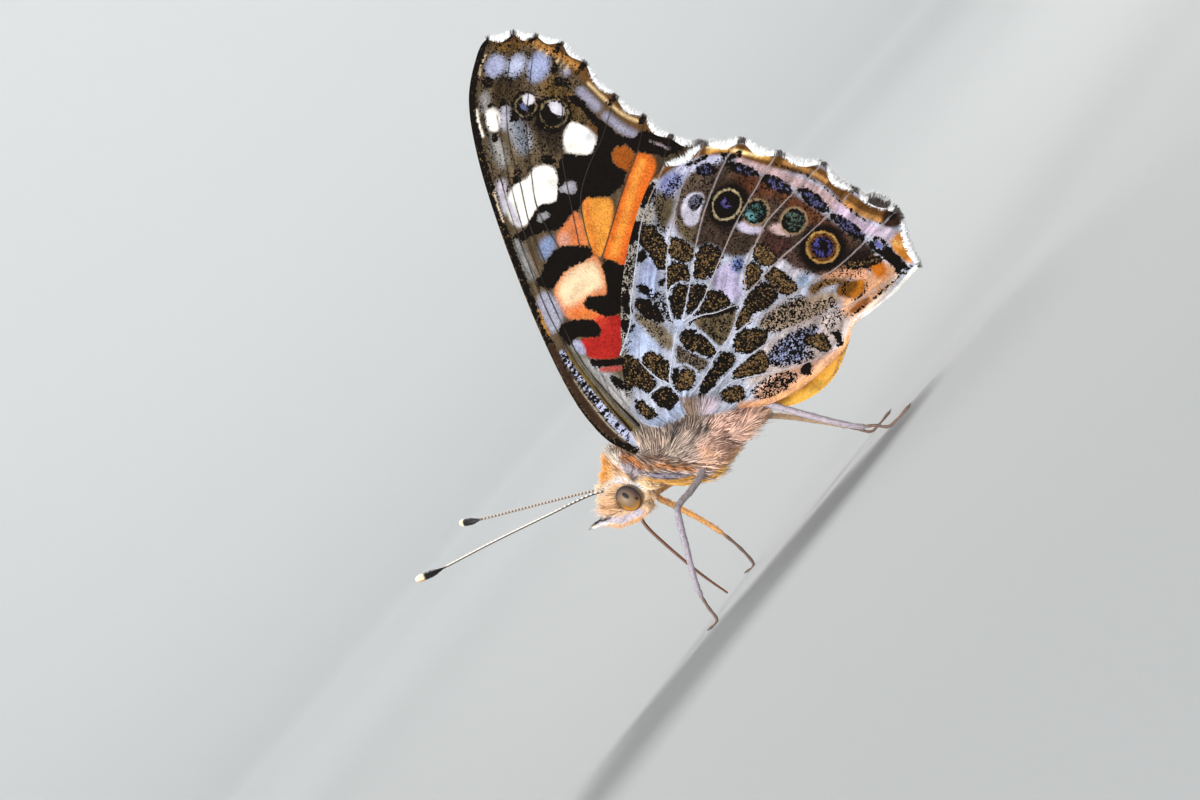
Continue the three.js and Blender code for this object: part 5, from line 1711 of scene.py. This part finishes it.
def leg_radius(station):
    thigh = 0.25 - 0.03 * ease(station, 0.15, KNEE)
    shin = 0.17 + 0.07 * ease(station, KNEE, KNEE + 0.08) - 0.06 * ease(station, KNEE + 0.1, ANKLE)
    joint = 0.5 - 0.5 * np.cos(2 * np.pi * (station - ANKLE) / (1 - ANKLE) * 5)
    foot = 0.105 + 0.03 * joint
    radius = np.where(station < KNEE, thigh, np.where(station < ANKLE, shin, foot))
    return radius * (1 - 0.5 * ease(station, 0.985, 1))


def scaly_material():
    """Legs covered with close grey-lilac scales."""
    material, tree, shader = surface("leg scales", 0.6, Sheen_Weight=0.2)
    here = add(tree, "TexCoord").outputs["Object"]
    cell = add(tree, "TexVoronoi", {"Vector": here, "Scale": 1 / (0.09 * MM)})
    luck = add(tree, "SeparateColor", {0: cell.outputs["Color"]})
    level = add(tree, "MapRange", {0: luck, 3: 0.65, 4: 1.2})
    finish_surface(tree, shader, level=level, relief=(cell.outputs["Distance"], 0.5, 0.02))
    return material


def make_legs():
    scales = scaly_material()
    bristle = hair_material("leg bristles")
    for name, path in LEG_PATHS.items():
        line = Line(path)

        def radius(t, line=line):
            return leg_radius(np.interp(t, line.travelled, line.stations))

        mesh, t, _ = tube(path, radius, 20, 150)
        station = np.interp(t, line.travelled, line.stations)
        thigh, shin = LEG_COLOURS[name]
        tint = blend(tone(thigh), tone(shin), ease(station, KNEE - 0.02, KNEE + 0.04))
        store(mesh, "tint", blend(tint, tone("#6e5548"), ease(station, ANKLE - 0.03, ANKLE + 0.03)))
        bm = bmesh.new()
        bm.from_mesh(mesh)
        add_claws(bm, line)
        put(f"{name}_limb", as_mesh(f"{name}_limb", bm), scales, [name])
        grow_bristles(name, line, bristle)


def add_claws(bm, line):
    """Two small claws at the toe, bent down to the floor."""
    end = line.at(np.array([1.0]))[0]
    way = line.heading(np.array([1.0]), line.at)[0]
    across = np.cross((0.0, 0.0, 1.0), way)
    layer = bm.verts.layers.float_color["tint"]
    for turn in (-1, 1):
        start = end - way * 0.08 + across * turn * 0.05
        arch = start + way * 0.14 + across * turn * 0.08 + (0, 0, 0.03)
        point = start + way * 0.27 + across * turn * 0.12
        path = [(x, y, max(z, 0.03)) for x, y, z in (start, arch, point)]
        claw, _, _ = tube(path, (0.045, 0.035, 0.008), 8, 8)
        before = len(bm.verts)
        bm.from_mesh(claw)
        bm.verts.ensure_lookup_table()
        for vert in bm.verts[before:]:
            vert[layer] = rgba("#2a1a12")


def grow_bristles(name, line, material):
    """Short scales that stand off the thigh and spines along the shin."""
    count = 420
    station = chance.rand(count) * (ANKLE - 0.08) + 0.06
    share = np.interp(station, line.stations, line.travelled)
    middle, heading, out, turn = round_limb(line, share)
    roots = middle + out * (leg_radius(station) * 0.9)[:, None]
    roots[:, 2] = np.maximum(roots[:, 2], 0.02)
    length = np.where(chance.rand(count) < 0.12, 0.4, 0.2)
    tint = tone("#a99ca0") * (0.6 + 0.6 * chance.rand(count))[:, None]
    width, lift = np.full(count, 0.022), np.full(count, 0.45)
    lay_blades(f"{name}_bristles", roots, heading, out, length, width, lift, tint, limb_map(share, turn),
               material, flat=0.8, curl=0.2)


FORELEG = ((-4.75, 0.9, 11.2), (-4.2, 1.35, 10.1), (-3.35, 1.5, 9), (-2.5, 1.3, 8.25), (-1.95, 1.1, 7.85))
FORELEG_RADII = (0.22, 0.3, 0.28, 0.2, 0.1)


def make_forelegs(hair):
    """The short brush-like forelegs, folded against the chest: grey, with dark spots and a golden front."""
    skin = scaly_material()
    count = 1500
    for word, side in SIDES:
        mesh, t, line = tube([(x, side * y, z) for x, y, z in FORELEG], FORELEG_RADII, 20, 60)
        store(mesh, "tint", np.tile(tone("#9b8f98"), (len(t), 1)))
        put(f"foreleg_{word}_limb", mesh, skin, [f"foreleg_{word}"])
        share = chance.rand(count)
        middle, heading, out, turn = round_limb(line, share)
        girth = np.interp(share, np.linspace(0, 1, len(FORELEG_RADII)), FORELEG_RADII)
        roots = middle + out * (girth * 0.92)[:, None]
        gold = ease(-out[:, 2] - 0.5 * out[:, 0], 0.15, 0.7)
        spots = (clouds(np.stack([share * 6, turn], 1), 0.5, 51) > 0.62) & (gold < 0.3)
        tint = np.where(spots[:, None], tone("#4d4248"), blend(tone("#a79ca6"), tone("#ffbc54"), gold))
        tint = tint * (0.75 + 0.5 * chance.rand(count, 1))
        lay_blades(f"foreleg_{word}_coat", roots, heading, out, 0.35 + 0.25 * gold, np.full(count, 0.035),
                   0.25 + 0.35 * gold, tint, limb_map(share, turn), hair, flat=0.6)


# Plain studio: a pale floor and soft lights
# The floor and its sweep, in metres
FLOOR_RADIUS, SWEEP, WALL_TOP = 0.6, 0.35, 0.42
EVEN_REACH = 0.545  # from here on the paper has its full tone
SWEEP_STEPS = 8

# Each light: where it stands, what it points at, its size, its power and how wide it shines in degrees
LAMPS = (
    ("front", (-0.3, -0.62, 0.24), (0, 0, 0.018), 0.36, 1.22, 120),
    ("low", (-0.22, -0.5, 0.06), (-0.004, 0, 0.012), 0.1, 0.62, 100),
    ("rim", (0.3, 0.34, 0.34), (0, 0, 0.018), 0.16, 1.4, 100),
    ("top", (-0.05, -0.05, 0.66), (0, 0, 0.018), 0.4, 0.3, 120),
    ("rear", (-0.25, 0.5, 0.44), (0, 0, 0.018), 0.3, 0.45, 100),
    ("backdrop", (0, 0.2, 0.3), (-0.2, 1, 0.3), 0.4, 1.5, 110),
)


def make_floor():
    """A pale floor that sweeps up all round."""
    material, tree, shader = surface("matte pale paper", 0.9)
    # The lamps stand near the insect, so the paper is darker there and looks even as far as the wall
    here = add(tree, "TexCoord").outputs["Object"]
    away = add(tree, "VectorMath", {0: here}, operation="LENGTH").outputs[1]
    share = add(tree, "MapRange", {0: away, 2: EVEN_REACH})
    squared = add(tree, "Math", {0: share, 1: share}, operation="MULTIPLY")
    finish_surface(tree, shader, rgba("#cfd1d0"), add(tree, "MapRange", {0: squared, 3: 0.43, 4: 0.98}))
    profile = [(0, 0), (0.06, 0), (0.25, 0), (FLOOR_RADIUS, 0)]
    for angle in np.linspace(0, math.pi / 2, SWEEP_STEPS + 1)[1:]:
        profile.append((FLOOR_RADIUS + SWEEP * math.sin(angle), SWEEP * (1 - math.cos(angle))))
    profile.append((FLOOR_RADIUS + SWEEP, WALL_TOP))
    bm = bmesh.new()
    verts = [bm.verts.new((x, 0, z)) for x, z in profile]
    edges = [bm.edges.new(pair) for pair in zip(verts, verts[1:])]
    bmesh.ops.spin(bm, geom=verts + edges, cent=(0, 0, 0), axis=(0, 0, 1), angle=2 * math.pi, steps=96,
                   use_merge=True)
    bmesh.ops.remove_doubles(bm, verts=bm.verts[:], dist=1e-5)
    bmesh.ops.recalc_face_normals(bm, faces=bm.faces[:])
    bmesh.ops.reverse_faces(bm, faces=bm.faces[:])
    floor = bpy.data.objects.new("floor", as_mesh("floor", bm))
    floor.data.materials.append(material)
    floor.data.polygons.foreach_set("use_smooth", np.full(len(floor.data.polygons), True))
    bpy.context.scene.collection.objects.link(floor)


def make_lamps():
    for name, place, aim, size, power, angle in LAMPS:
        data = bpy.data.lights.new(name, "AREA")
        data.size, data.energy, data.spread = size, power, math.radians(angle)
        lamp = bpy.data.objects.new(name, data)
        lamp.location = place
        lamp.rotation_euler = (Vector(place) - Vector(aim)).to_track_quat("Z", "Y").to_euler()
        lamp.visible_camera = False
        bpy.context.scene.collection.objects.link(lamp)
    world = bpy.data.worlds.new("studio")
    bpy.context.scene.world = world
    world.use_nodes = True
    air = world.node_tree.nodes["Background"]
    air.inputs[0].default_value = rgba("#e6e8ec")
    air.inputs[1].default_value = 0.62
    bpy.context.scene.view_settings.view_transform = "Standard"


make_wings()
make_fringes()
body_hair = hair_material("body hair")
make_body(body_hair)
make_eyes()
make_antennae()
make_proboscis()
make_legs()
hide_leg_roots(body_hair)
make_forelegs(body_hair)
make_floor()
make_lamps()
